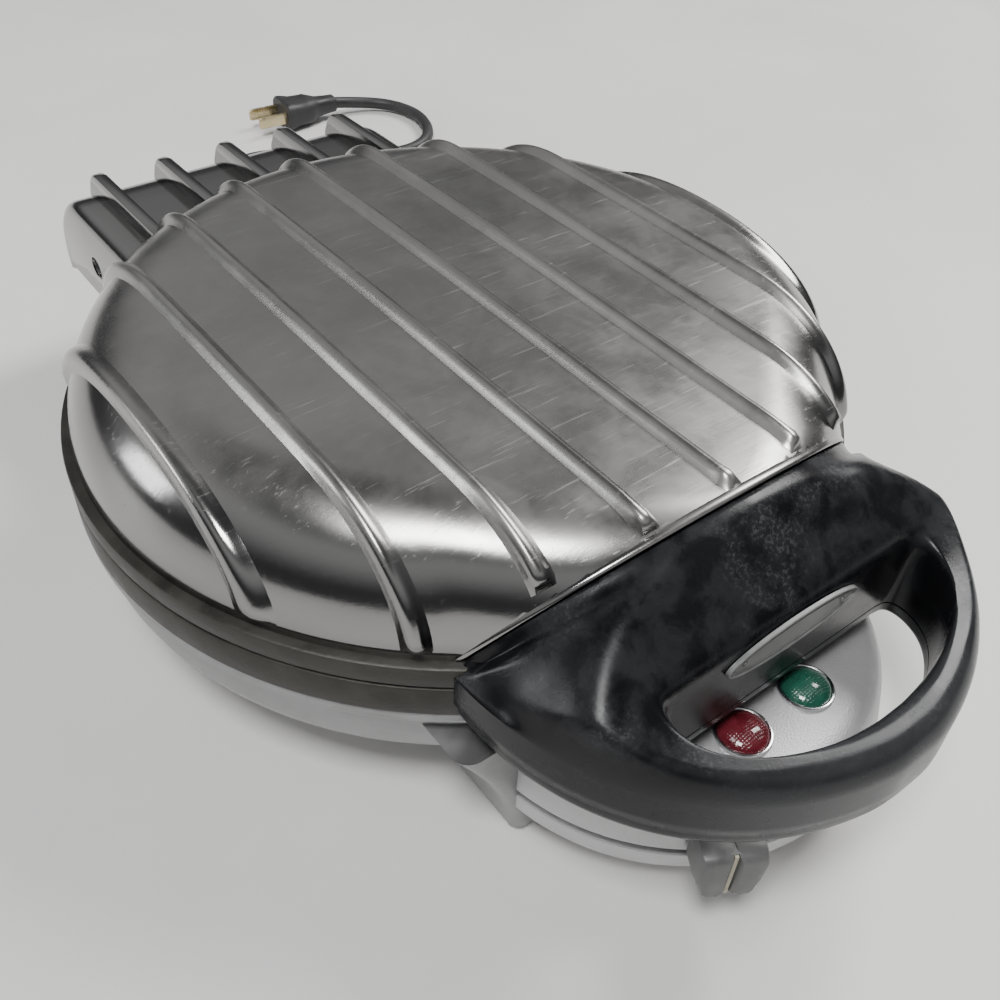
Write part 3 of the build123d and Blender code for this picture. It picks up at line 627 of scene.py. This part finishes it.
def handle_top(x, y):
    # The lower of the loop's flank and the arch that carries on from the lid, blended softly.
    side = 65.0 + 8.8 * log(1 + exp((y + 131) / 8.0))
    reach = min(abs(x), SEAM_HALF - 0.5)
    arch = seam_point(reach)[1] + 4.0 * smooth((-y - 106) / 22) - 1.1 * max(abs(x) - reach, 0)
    return -2.6 * log(exp(-side / 2.6) + exp(-arch / 2.6))


def spaced(points, count):
    """The same line with evenly spaced points."""
    run = [0.0]
    for a, b in zip(points, points[1:]):
        run.append(run[-1] + hypot(b[0] - a[0], b[1] - a[1]))
    result, k = [], 0
    for i in range(count):
        goal = run[-1] * i / (count - 1)
        while k < len(run) - 2 and run[k + 1] < goal:
            k += 1
        share = (goal - run[k]) / max(run[k + 1] - run[k], 1e-9)
        result.append(tuple(a + (b - a) * share for a, b in zip(points[k], points[k + 1])))
    return result


def soft_line(points, rounds=3):
    """Corner cutting, which keeps the ends."""
    for _ in range(rounds):
        more = [points[0]]
        for a, b in zip(points, points[1:]):
            more.append(tuple(p * 0.75 + q * 0.25 for p, q in zip(a, b)))
            more.append(tuple(p * 0.25 + q * 0.75 for p, q in zip(a, b)))
        points = more + [points[-1]]
    return points


def both_sides(half):
    return half + [(-x, y) for x, y in reversed(half[:-1])]


FRONT_COUNT, BACK_COUNT = 150, 91
HANDLE_WALL_R, SOLE_WALL_R = 116.7, 116.8
# Where the top has its lines, as shares of the way from the outer edge to the opening
HANDLE_SHARES = [0.0, 0.006, 0.02, 0.045, 0.08, 0.12, 0.17, 0.23, 0.3, 0.38, 0.46, 0.54, 0.62, 0.69, 0.75,
                 0.8, 0.85, 0.89, 0.925, 0.955, 0.98, 0.993, 1.0]


def handle_outer(inset=0.0):
    half = [(68.2, -92.5), (68.0, -104), (66.0, -116), (62.0, -128), (55.8, -139.2), (47.6, -149.2),
            (36.6, -158.0), (23.6, -164.6), (9, -168.8), (0, -169.0)]
    line = spaced(soft_line(both_sides(half)), FRONT_COUNT)
    return [(x * (1 - inset / 68), y + inset * min(1, (-y - 92) / 60)) for x, y in line]


def handle_inner():
    half = [(OPENING_HALF, OPENING_BACK_Y), (42.6, -131.4), (43.4, -137.5), (40, -145.6), (31.5, -152.2),
            (19, -156.6), (6, -158.6), (0, -158.7)]
    return spaced(soft_line(both_sides(half)), FRONT_COUNT)


def back_shares():
    return [-1 + 2 * i / (BACK_COUNT - 1) for i in range(1, BACK_COUNT - 1)]


def handle_ring():
    """Pairs of an outer and an inner point all the way round. Only those on the seam have a height."""
    ring = [((ox, oy, None), inner) for (ox, oy), inner in zip(handle_outer(), handle_inner())]
    for share in back_shares():
        x = share * SEAM_HALF
        y, z = seam_point(x)
        ring.append(((x, y - 0.35, z), (share * OPENING_HALF, OPENING_BACK_Y)))
    return ring


def handle_body():
    columns = []
    for (ox, oy, seam_z), (ix, iy) in handle_ring():
        gap = hypot(ix - ox, iy - oy)
        if seam_z is None:
            base = 58.0 - 1.5 * smooth((oy + 118) / 26)
            roll = min(7.5, gap * 0.5) - 4.5 * smooth((oy + 112) / 20)
            column = [(ox * 0.994, oy + 0.4, HANDLE_LOW_Z), (ox, oy, 47.0), (ox, oy, 50.0), (ox, oy, 54.0),
                      (ox, oy, base - 0.3)]
        else:
            wall_y = -sqrt(max(HANDLE_WALL_R ** 2 - ox * ox, 0))
            base, roll = seam_z - 1.0, 1.2
            column = [(ox, wall_y, HANDLE_LOW_Z), (ox, wall_y, 47.0), (ox, wall_y, 50.0),
                      (ox, wall_y, min(54.0, seam_z - 3)), (ox, oy, seam_z - 1.3)]
        inner_roll = min(4.2, gap * 0.34)
        for share in HANDLE_SHARES:
            x, y = ox + (ix - ox) * share, oy + (iy - oy) * share
            out, into = gap * share, gap * (1 - share)
            z = handle_top(x, y)
            if seam_z is not None:
                weight = smooth(1 - out / 14.0)
                z = z * (1 - weight) + (seam_z - 0.15) * weight
            if out < roll:
                z = base + (z - base) * sqrt(max(1 - (1 - out / roll) ** 2, 0.0))
            if into < inner_roll:
                z -= inner_roll * (1 - sqrt(max(1 - (1 - into / inner_roll) ** 2, 0.0)))
            column.append((x, y, z))
        low = column[-1][2]
        column += [(ix, iy, low - (low - HANDLE_LOW_Z) * s) for s in (0.25, 0.6, 0.97, 1.0)]
        columns.append(column)
    return strip(columns, ring=True, loop=True)


def handle_sole():
    """The lower half of the handle, a flat ring with soft edges."""
    rows = []
    pairs = list(zip(handle_outer(0.9), handle_inner()))
    for share in back_shares():
        x = share * 66.0
        pairs.append(((x, -sqrt(SOLE_WALL_R ** 2 - x * x)), (share * OPENING_HALF, OPENING_BACK_Y)))
    for (ox, oy), (ix, iy) in pairs:
        tx, ty = (ix - ox), (iy - oy)
        size = hypot(tx, ty)
        tx, ty = tx / size, ty / size
        rows.append([(ox, oy, 45.9), (ox, oy, 43.6), (ox + 0.5 * tx, oy + 0.5 * ty, 42.6),
                     (ox + 1.5 * tx, oy + 1.5 * ty, 42.1), (ix - 1.2 * tx, iy - 1.2 * ty, 42.1),
                     (ix - 0.3 * tx, iy - 0.3 * ty, 42.9), (ix, iy, 43.6), (ix, iy, 45.9)])
    return strip(rows, ring=True, loop=True)


piece("loop_handle", handle_body(), "lid", "black_phenolic", ["handle_upper"], sharp=42)
piece("handle_sole", handle_sole(), "lid", "black_phenolic", ["handle_lower"], sharp=50)


BADGE_LONG, BADGE_HIGH = 22.4, 4.95
BADGE_Y, BADGE_Z = -131.0, 63.6


def oval_ring(size, out, steps=96):
    # Smaller rings keep an even distance to the edge, and the smallest is the middle point.
    if not size:
        return [(0.0, BADGE_Y - out, BADGE_Z)] * steps
    inset = BADGE_LONG * (1 - size) * 0.5
    high = max(BADGE_HIGH - inset, 0.6)
    return [((BADGE_LONG - inset) * cos(a), BADGE_Y - out, BADGE_Z + high * sin(a))
            for a in full_turn(steps)]


def oval_badge():
    """A blank oval plaque: raised rim, a fine line inside it and a stud at each end."""
    rings = [(0, 0.0), (1.0, 0.0), (1.0, 0.9), (0.985, 1.12), (0.955, 1.12), (0.935, 0.75), (0.86, 0.72),
             (0.852, 0.9), (0.838, 0.9), (0.83, 0.72), (0.5, 0.72), (0, 0.72)]
    plate = strip([oval_ring(size, out) for size, out in rings], ring=True)
    stud = turned([(0, 0.5), (0.5, 0.45), (0.75, 0.2), (0.8, 0.0), (0, 0.0)], steps=20)
    forward = Matrix.Rotation(radians(90), 4, "X")
    return joined(plate, *[moved(stud, Matrix.Translation((x, BADGE_Y - 0.7, BADGE_Z)) @ forward)
                           for x in (-16.8, 16.8)])


piece("badge_plaque", oval_badge(), "lid", "badge", ["badge_plate"], sharp=30)


# Grids

def stud_form():
    """One post of the grid, square, tapered and round at its edges."""
    sections = [(7.6, -0.3, 1.6), (7.25, 0.0, 1.5), (6.9, 0.8, 1.5), (5.45, 8.6, 1.4), (5.1, 9.3, 1.3),
                (4.4, 9.5, 1.0)]
    return strip([rounded_ring(0, 0, half, half, corner, z, 4) for half, z, corner in sections], ring=True,
                 caps=True)


# The net of posts, in metres
POST_PITCH, POST_REACH, POSTS_ACROSS = 0.02, 0.09, 10


def post_tree():
    """Geometry nodes: one post on every crossing of a square net within a radius."""
    tree = bpy.data.node_groups.new("posts_on_a_net", "GeometryNodeTree")
    sockets = {}
    for label, kind, value in (("Pitch", "NodeSocketFloat", POST_PITCH),
                               ("Across", "NodeSocketInt", POSTS_ACROSS),
                               ("Reach", "NodeSocketFloat", POST_REACH), ("Height", "NodeSocketFloat", 0.0),
                               ("Turn", "NodeSocketFloat", 0.0), ("Post", "NodeSocketObject", None),
                               ("Finish", "NodeSocketMaterial", None)):
        socket = tree.interface.new_socket(label, in_out="INPUT", socket_type=kind)
        if value is not None:
            socket.default_value = value
        sockets[label] = socket.identifier
    tree.interface.new_socket("Geometry", in_out="OUTPUT", socket_type="NodeSocketGeometry")
    given, out = add(tree, "NodeGroupInput").outputs, add(tree, "NodeGroupOutput").inputs
    steps = times(tree, given["Across"], 1.0, "SUBTRACT")
    width = times(tree, steps, given["Pitch"])
    net = add(tree, "GeometryNodeMeshGrid", {"Size X": width, "Size Y": width,
                                             "Vertices X": given["Across"],
                                             "Vertices Y": given["Across"]})
    place = add(tree, "GeometryNodeInputPosition")
    away = add(tree, "ShaderNodeVectorMath", {0: place.outputs[0]}, operation="LENGTH")
    near = times(tree, away.outputs["Value"], given["Reach"], "LESS_THAN")
    form = add(tree, "GeometryNodeObjectInfo", {"Object": given["Post"]})
    turn = add(tree, "ShaderNodeCombineXYZ", {"X": given["Turn"]})
    posts = add(tree, "GeometryNodeInstanceOnPoints", {"Points": net.outputs["Mesh"], "Selection": near,
                                                       "Instance": form.outputs["Geometry"],
                                                       "Rotation": turn.outputs[0]})
    lifted = add(tree, "ShaderNodeCombineXYZ", {"Z": given["Height"]})
    raised = add(tree, "GeometryNodeSetPosition", {"Geometry": posts.outputs[0],
                                                   "Offset": lifted.outputs[0]})
    real = add(tree, "GeometryNodeRealizeInstances", {"Geometry": raised.outputs[0]})
    coloured = add(tree, "GeometryNodeSetMaterial", {"Geometry": real.outputs[0],
                                                     "Material": given["Finish"]})
    tree.links.new(coloured.outputs[0], out[0])
    return tree, sockets


POSTS, POST_INPUTS = post_tree()


def raw_object(name, part):
    mesh = bpy.data.meshes.new(name)
    mesh.from_pydata([tuple(c * MM for c in p) for p in part[0]], [], part[1])
    return placed(name, mesh)


def grown(name, tree, identifiers, values, body, slot_name):
    """Runs a geometry tree and keeps its result as a plain mesh."""
    host = raw_object(name + "_host", ([], []))
    modifier = host.modifiers.new("grow", "NODES")
    modifier.node_group = tree
    for label, value in values.items():
        modifier[identifiers[label]] = value
    graph = bpy.context.evaluated_depsgraph_get()
    mesh = bpy.data.meshes.new_from_object(host.evaluated_get(graph), depsgraph=graph)
    mesh.name = name
    host.modifiers.remove(modifier)
    bpy.data.objects.remove(host)
    shade(mesh, 35)
    return dress(placed(name, mesh), body, slot_name, ())


def dividers(z_floor, sign):
    """The two crossed bars that quarter the waffle."""
    section = [(-2.4, -0.2), (-1.9, 6.9), (-1.2, 7.5), (1.2, 7.5), (1.9, 6.9), (2.4, -0.2)]
    one = strip([[(x, w, z_floor + sign * h) for w, h in section] for x in (-100, 100)], ring=True,
                caps=True)
    return [moved(one, Matrix.Rotation(radians(turn), 4, "Z")) for turn in (0, 90)]


def grid_dish(rim, floor, back, under):
    """A turned dish: the outer band with soft edges, the flat rim, the bowl and its underside."""
    s = 1 if rim > floor else -1
    profile = [(0, under), (108.3, under), (108.5, under + s * 0.6), (108.5, back), (RING_R - 0.8, back),
               (RING_R - 0.2, back + s * 0.35), (RING_R, back + s * 1.0), (RING_R, rim - s * 1.0),
               (RING_R - 0.3, rim - s * 0.3), (RING_R - 1.0, rim), (104.6, rim), (103.8, rim - s * 0.8),
               (99.6, floor + s * 0.8), (98.4, floor), (0, floor)]
    return turned(profile, steps=160)


POST = raw_object("post_form", stud_form())
for name, body, sign, rim, floor, back, under in (("lower", "base", 1, 51.8, 36.0, 42.0, 32.0),
                                                  ("upper", "lid", -1, 52.2, 62.0, 59.0, 66.0)):
    piece(name + "_waffle_grid", joined(grid_dish(rim, floor, back, under), *dividers(floor, sign)), body,
          "grid_casting", [name + "_grid", name + "_grid_rim"], sharp=32)
    net = {"Pitch": POST_PITCH, "Across": POSTS_ACROSS, "Reach": POST_REACH, "Height": floor * MM,
           "Turn": 0.0 if sign > 0 else pi, "Post": POST, "Finish": FINISHES["grid_casting"]}
    grown(name + "_posts", POSTS, POST_INPUTS, net, body, "grid_casting")
bpy.data.objects.remove(POST)


# Base pan, its legs and the control housing

PAN = [(0, 13.4), (84, 13.4), (88, 13.0), (95.5, 13.0), (99.3, 13.7), (102.0, 15.6), (103.8, 18.6),
       (107.2, 20.6), (110.3, 23.6), (111.9, 28.0), (112.4, 33.0), (112.5, 38.1), (113.4, 38.4),
       (114.3, 38.7), (114.6, 39.4), (114.6, 41.0), (114.2, 41.7), (113.4, 41.9), (110.2, 41.9),
       (109.8, 39.0), (109.4, 30.0), (107.4, 25.0), (101.4, 20.4), (96.0, 16.0), (0, 16.0)]
piece("cast_pan", turned(PAN, steps=160), "base", "pan_aluminium", ["base_pan"], sharp=40)


LEG_X, LEG_LOW, LEG_HIGH = 52.0, 2.0, 33.2


def leg_form(x, y):
    """A foot that flares in a hollow curve up into the pan."""
    rows = []
    for i in range(13):
        share = i / 12
        flare = share ** 1.9
        cx, cy = x * (1 + 0.17 * flare), y * (1 - 0.12 * flare)
        rows.append(rounded_ring(cx, cy, 7.0 + 4.8 * flare, 14.0 + 6.5 * flare, 3.2 + 2.0 * flare,
                                 LEG_LOW + LEG_HIGH * share))
    foot = rounded_ring(x, y, 6.3, 13.3, 2.6, LEG_LOW)
    edge = [(px, py, LEG_LOW + 0.6) for px, py, _ in rows[0]]
    return strip([foot, rows[0], edge] + rows[1:], ring=True, caps=True)


for end, y in (("front", -93.5), ("rear", 74.0)):
    for side, x in (("left", -LEG_X), ("right", LEG_X)):
        name = end + "_" + side
        piece(name + "_cast_leg", leg_form(x, y), "base", "pan_aluminium", [name + "_leg"], sharp=48)

UPPER_HOUSING = [(0, 32.8), (50.0, 32.6), (54.0, 31.4), (56.0, 28.0), (57.4, 20.0), (57.6, 19.3),
                 (59.5, 19.3), (59.8, 19.6), (59.7, 20.2), (58.1, 28.6), (57.4, 31.0), (56.0, 33.0),
                 (53.6, 34.2), (50.5, 34.75), (30, 35.1), (0, 35.25)]
LOWER_HOUSING = [(0, 11.0), (58.4, 11.0), (59.6, 11.5), (60.0, 12.4), (60.0, 16.4), (59.95, 17.1),
                 (59.6, 17.5), (57.5, 17.5), (57.0, 17.0), (56.6, 13.4), (0, 13.4)]
SLOT_BAND = [(54.8, 17.0), (56.0, 17.0), (56.2, 20.5), (54.8, 20.5), (54.8, 17.0)]
for name, profile, steps, slot_name, nodes, sharp in (
        ("control_cap", UPPER_HOUSING, 160, "housing_silver", ["control_housing"], 36),
        ("control_tray", LOWER_HOUSING, 160, "housing_silver", ["control_housing_base"], 36),
        ("slot_shadow_band", SLOT_BAND, 120, "tie_plastic", (), 38)):
    piece(name, turned(profile, (0, SPINDLE_Y), steps), "base", slot_name, nodes, sharp=sharp)

LAMP_X, LAMP_Y = 11.5, -133.5
LENS = [(0, 34.0), (6.4, 34.0), (6.5, 35.7), (6.3, 36.2), (5.6, 36.9), (4.4, 37.5), (2.8, 38.0),
        (1.4, 38.25), (0, 38.3)]
LAMP_RIM = [(7.35, 34.2), (7.35, 35.0), (7.3, 35.7), (7.05, 36.05), (6.75, 36.1), (6.5, 35.9), (6.45, 34.2),
            (7.35, 34.2)]
for name, x in (("red", -LAMP_X), ("green", LAMP_X)):
    piece(name + "_lamp_lens", turned(LENS, (x, LAMP_Y), 48), "base", name + "_glass", [name + "_lens"],
          sharp=60)
piece("lamp_rims", joined(*[turned(LAMP_RIM, (x, LAMP_Y), 56) for x in (-LAMP_X, LAMP_X)]), "base",
      "chrome_trim", ["lamp_bezels"], sharp=40)


# Browning lever

def lever_lobe(side):
    """One half of the lever's grip, seen from the front as (sideways, height)."""
    outline = [(0.5, 32.6), (4.2, 33.0), (7.5, 32.3), (8.3, 30.6), (8.3, 23.4), (7.9, 21.4), (6.7, 18.4),
               (6.2, 16.4), (5.2, 15.2), (2.0, 15.0), (0.5, 16.4)]
    rows = []
    for radial, shrink in ((-61.4, 0.0), (-66.5, 0.0), (-68.6, 0.35), (-69.8, 1.1), (-70.3, 2.3)):
        row = []
        for w, z in outline:
            dx, dz = 4.8 - w, 24.5 - z
            size = hypot(dx, dz)
            row.append((side * (w + dx / size * shrink), radial, z + dz / size * shrink))
        rows.append(row)
    return strip(rows, ring=True, caps=True)


def bar(half, low, high, start, end):
    """A plain bar along y."""
    section = [(-half, low), (half, low), (half, high), (-half, high)]
    return strip([[(x, y, z) for x, z in section] for y in (start, end)], ring=True, caps=True)


def on_spindle(part):
    turn = Matrix.Rotation(radians(LEVER_ANGLE), 4, "Z")
    return moved(part, Matrix.Translation((0, SPINDLE_Y, 0)) @ turn)


arm = bar(4.5, 17.96, 18.84, 5, -64)
bridge = bar(1.6, 15.8, 32.4, -61.6, -68.4)
mark = bar(0.5, 16.2, 32.2, -68.2, -69.2)
piece("lever_grip", on_spindle(joined(lever_lobe(-1), lever_lobe(1), bridge, arm)), "lever",
      "grey_phenolic", ["browning_lever"])
piece("lever_mark", on_spindle(mark), "lever", "cream_mark", ["lever_pointer"], bevel=0.15)


# Hinge cover

COVER_HALF, COVER_SOFT = 62.0, 4.0
COVER_MID_Y, COVER_MID_Z, COVER_R = 140.0, 40.0, 29.0
HINGE_Y, HINGE_Z, PIN_HOLE_R = 132.0, 50.0, 4.1


def cover_outline(inset):
    """The flat top and the round back of the cover, seen from the side."""
    r = COVER_R - inset
    line = [(92 + i * 8, COVER_MID_Z + r) for i in range(7)]
    for degrees in range(0, 103, 6):
        a = radians(degrees)
        line.append((COVER_MID_Y + r * sin(a), COVER_MID_Z + r * cos(a)))
    return line


def cover_shell():
    """The sheet of the cover from its left to its right end, drawn in softly at both."""
    stations = [(-COVER_HALF, COVER_SOFT), (-61.7, 2.6), (-60.8, 1.2), (-59.6, 0.4), (-58.0, 0.0)]
    stations += [(-50 + 10 * i, 0.0) for i in range(11)]
    stations += [(-x, inset) for x, inset in reversed(stations[:5])]
    return strip([[(x, y, z) for y, z in cover_outline(inset)] for x, inset in stations])


def cover_end(side):
    """An end wall with the hole for the hinge pin."""
    x = side * COVER_HALF
    edge = cover_outline(COVER_SOFT) + [(158, 37.2), (140, 37.0), (121, 37.0), (108, 37.0), (101, 37.0),
                                        (99, 45.0), (96, 60.0)]
    hole = []
    for y, z in edge:
        turn = atan2(z - HINGE_Z, y - HINGE_Y)
        hole.append((x, HINGE_Y + PIN_HOLE_R * cos(turn), HINGE_Z + PIN_HOLE_R * sin(turn)))
    deep = [(x - side * 4.0, y, z) for _, y, z in hole]
    return strip([[(x, y, z) for y, z in edge], hole, deep], ring=True)


def fin_form(x):
    """One upright fin, a soft-edged plate that follows the cover and overhangs behind."""
    outline = [(94, 67), (94, 74.2), (97, 74.9), (148, 74.9), (151.5, 74.2), (153.8, 72.2), (156.5, 67.2),
               (157.0, 64.5), (155.5, 62.0), (150, 62.0)]
    rows = []
    for offset, shrink in ((-2.5, 1.2), (-2.2, 0.4), (-1.2, 0.0), (1.2, 0.0), (2.2, 0.4), (2.5, 1.2)):
        rows.append([(x + offset * 0.96, y, z - shrink if z > 63 else z) for y, z in outline])
    return strip(rows, ring=True, caps=True)


walled(piece("hinge_cover_shell", joined(cover_shell(), cover_end(-1), cover_end(1)), "lid",
             "polished_casting", ["hinge_cover"], sharp=40), 3.0)
piece("hinge_cover_fins", joined(*[fin_form((i - 2) * RIB_PITCH) for i in range(5)]), "lid",
      "polished_casting", sharp=44)


# Mains cord

EXIT_ANGLE = radians(47.0)
PLUG_AT = (134, 304, 7.8)
CORD_Z = 3.6
COIL_X, COIL_Y = 52.0, 188.0
COIL_REACH = 1.0065         # the spline runs this much inside its points


def along_exit(distance, z):
    return (cos(EXIT_ANGLE) * distance, sin(EXIT_ANGLE) * distance, z)


LEAD = [along_exit(137.0, 24.0), along_exit(153.0, 24.0), (112, 127, 19.5), (115, 143, 11.5),
        (114, 160, 5.5), (108.5, 175.5, CORD_Z), (95, 185, CORD_Z), (73, 188, CORD_Z),
        (COIL_X, COIL_Y, CORD_Z)]
TAIL = [(70, 260.6, CORD_Z + 6.6), (92, 258.1, CORD_Z + 0.3), (111, 250.6, CORD_Z), (127, 240.5, CORD_Z),
        (142, 238, CORD_Z), (156, 244, CORD_Z), (166, 258, CORD_Z), (170, 276, CORD_Z), (165, 293, CORD_Z),
        (151, 303, CORD_Z + 1.2), PLUG_AT]


def coil_points():
    """Five half turns, in on the table and out again on top, seven points to each."""
    points = []
    x, y, z, heading = COIL_X, COIL_Y, CORD_Z, 1
    for radius, rise in ((36.3, 0), (33.0, 0), (29.7, 6.6), (33.0, 0), (36.3, 0)):
        centre = y + radius * heading
        for i in range(7):
            share = (i + 0.5) / 7
            a = pi * share
            reach = radius * COIL_REACH
            points.append((x - reach * sin(a) * heading, centre - reach * cos(a) * heading,
                           z + rise * share))
        y += 2 * radius * heading
        z += rise
        heading = -heading
    return points


def mains_cord():
    curve = bpy.data.curves.new("mains_cord", "CURVE")
    curve.dimensions = "3D"
    spline = curve.splines.new("NURBS")
    route = LEAD + coil_points() + TAIL
    spline.points.add(len(route) - 1)
    for point, place in zip(spline.points, route):
        point.co = (*[c * MM for c in place], 1.0)
    spline.order_u = 3
    spline.use_endpoint_u = True
    spline.resolution_u = 8
    curve.bevel_depth = 3.0 * MM
    curve.bevel_resolution = 5
    curve.use_fill_caps = True
    return dress(placed("mains_cord", curve), "base", "cord_rubber",
                 ["cord_lead", "cord_coil", "cord_tail"])


def boot_form():
    """Tapered rubber relief with five ribs."""
    profile = [(0, 0), (6.4, 0)]
    for i in range(5):
        at, r = 9 + i * 4.0, 6.1 - 0.4 * i
        profile += [(r, at - 1.7), (r + 0.1, at - 0.8), (r - 0.1, at), (r - 1.2, at + 0.3),
                    (r - 1.3, at + 1.9)]
    profile += [(4.3, 29.3), (3.9, 30), (0, 30)]
    outward = Matrix.Rotation(EXIT_ANGLE, 4, "Z") @ Matrix.Rotation(radians(90), 4, "Y")
    return moved(turned(profile, steps=36), Matrix.Translation(along_exit(107.0, 24.0)) @ outward)


def plug_form():
    """A moulded two-pin plug: a sleeve, a waist and a flat-faced body."""
    sections = [(0.0, 3.6, 3.6), (0.6, 4.2, 4.2), (5, 4.4, 4.5), (11, 4.9, 5.2), (13.5, 5.6, 6.6),
                (17, 6.5, 8.6), (20, 6.3, 8.9), (25, 6.4, 9.3), (29, 7.3, 10.5), (31.2, 7.5, 10.8),
                (32, 7.0, 10.3)]
    return strip([rounded_ring(0, 0, half_z, half_y, min(half_z, half_y) * 0.7, d)
                  for d, half_z, half_y in sections], ring=True, caps=True)


def blade_form(y):
    sections = [(3.1, 0.72, 0.6, 31.0), (3.1, 0.72, 0.6, 46.5), (2.3, 0.5, 0.4, 47.9)]
    return strip([rounded_ring(0, y, *section) for section in sections], ring=True, caps=True)


def at_plug(part):
    # The plug is drawn upright, and lies on the table with its blades to the left.
    out, up = Vector((-1, 0.06, 0)).normalized(), Vector((0, 0, 1))
    axes = Matrix((up, out.cross(up), out)).transposed().to_4x4()
    return moved(part, Matrix.Translation(PLUG_AT) @ axes)


cord = mains_cord()
piece("cord_relief", boot_form(), "base", "cord_rubber", ["cord_boot"], sharp=50)
plug = piece("mains_plug", at_plug(plug_form()), "base", "cord_rubber", ["plug_body"], sharp=40)
prongs = piece("plug_blades", at_plug(joined(blade_form(-6.35), blade_form(6.35))), "base", "brass_blades",
               ["plug_prongs"])


# CAD pieces that keep their shape

slots = {part["node"]: part["material_slot"] for part in frame["record"]["subparts"]}
for node_name, node in frame["nodes"].items():
    node.data.materials.clear()
    node.data.materials.append(FINISHES[slots[node_name]])


# Floor and light

def floor_and_light():
    mesh = bpy.data.meshes.new("table_top")
    mesh.from_pydata([(-2, -2, 0), (2, -2, 0), (2, 2, 0), (-2, 2, 0)], [], [(0, 1, 2, 3)])
    table = placed("table_top", mesh)
    mesh.materials.append(finish("pale_table", (0.80, 0.79, 0.775), (0.86, 0.85, 0.835), (0.45, 0.55), 0.0,
                                 stains=(6.0, 0.3)))
    # The reflections on the lid's edge give the places of these lamps, in metres.
    for name, place, size, power, colour in (
            ("ceiling", (-0.58, -0.39, 1.72), 0.5, 25, (1.0, 1.0, 1.0)),
            ("left_window", (-1.5, 1.1, 0.55), 0.5, 6, (0.98, 0.99, 1.0)),
            ("right_fill", (1.6, 0.2, 1.6), 0.9, 42, (1.0, 0.995, 0.985))):
        lamp = bpy.data.lights.new(name, "AREA")
        lamp.shape = "SQUARE"
        lamp.size = size
        lamp.energy = power
        lamp.color = colour
        made = placed(name, lamp)
        made.location = place
        made.rotation_euler = (Vector(place) - Vector((0, 0, 0.05))).to_track_quat("Z", "Y").to_euler()
    world = bpy.data.worlds.new("room")
    bpy.context.scene.world = world
    world.use_nodes = True
    tree = world.node_tree
    coords = add(tree, "ShaderNodeTexCoord").outputs["Generated"]
    way = parts_of(tree, coords)
    rise = ranged(tree, way["Z"], 0.15, 0.6)
    crown = ranged(tree, way["Z"], 0.64, 0.84)
    right = ranged(tree, way["X"], 0.1, 0.75)
    walls = blend_colour(tree, right, (0.62, 0.62, 0.625), (0.26, 0.26, 0.265))
    room = blend_colour(tree, rise, (0.09, 0.09, 0.095), walls)
    sky = blend_colour(tree, crown, room, (0.1, 0.1, 0.105))
    tree.links.new(sky, tree.nodes["Background"].inputs["Color"])
    tree.nodes["Background"].inputs["Strength"].default_value = 0.9


floor_and_light()
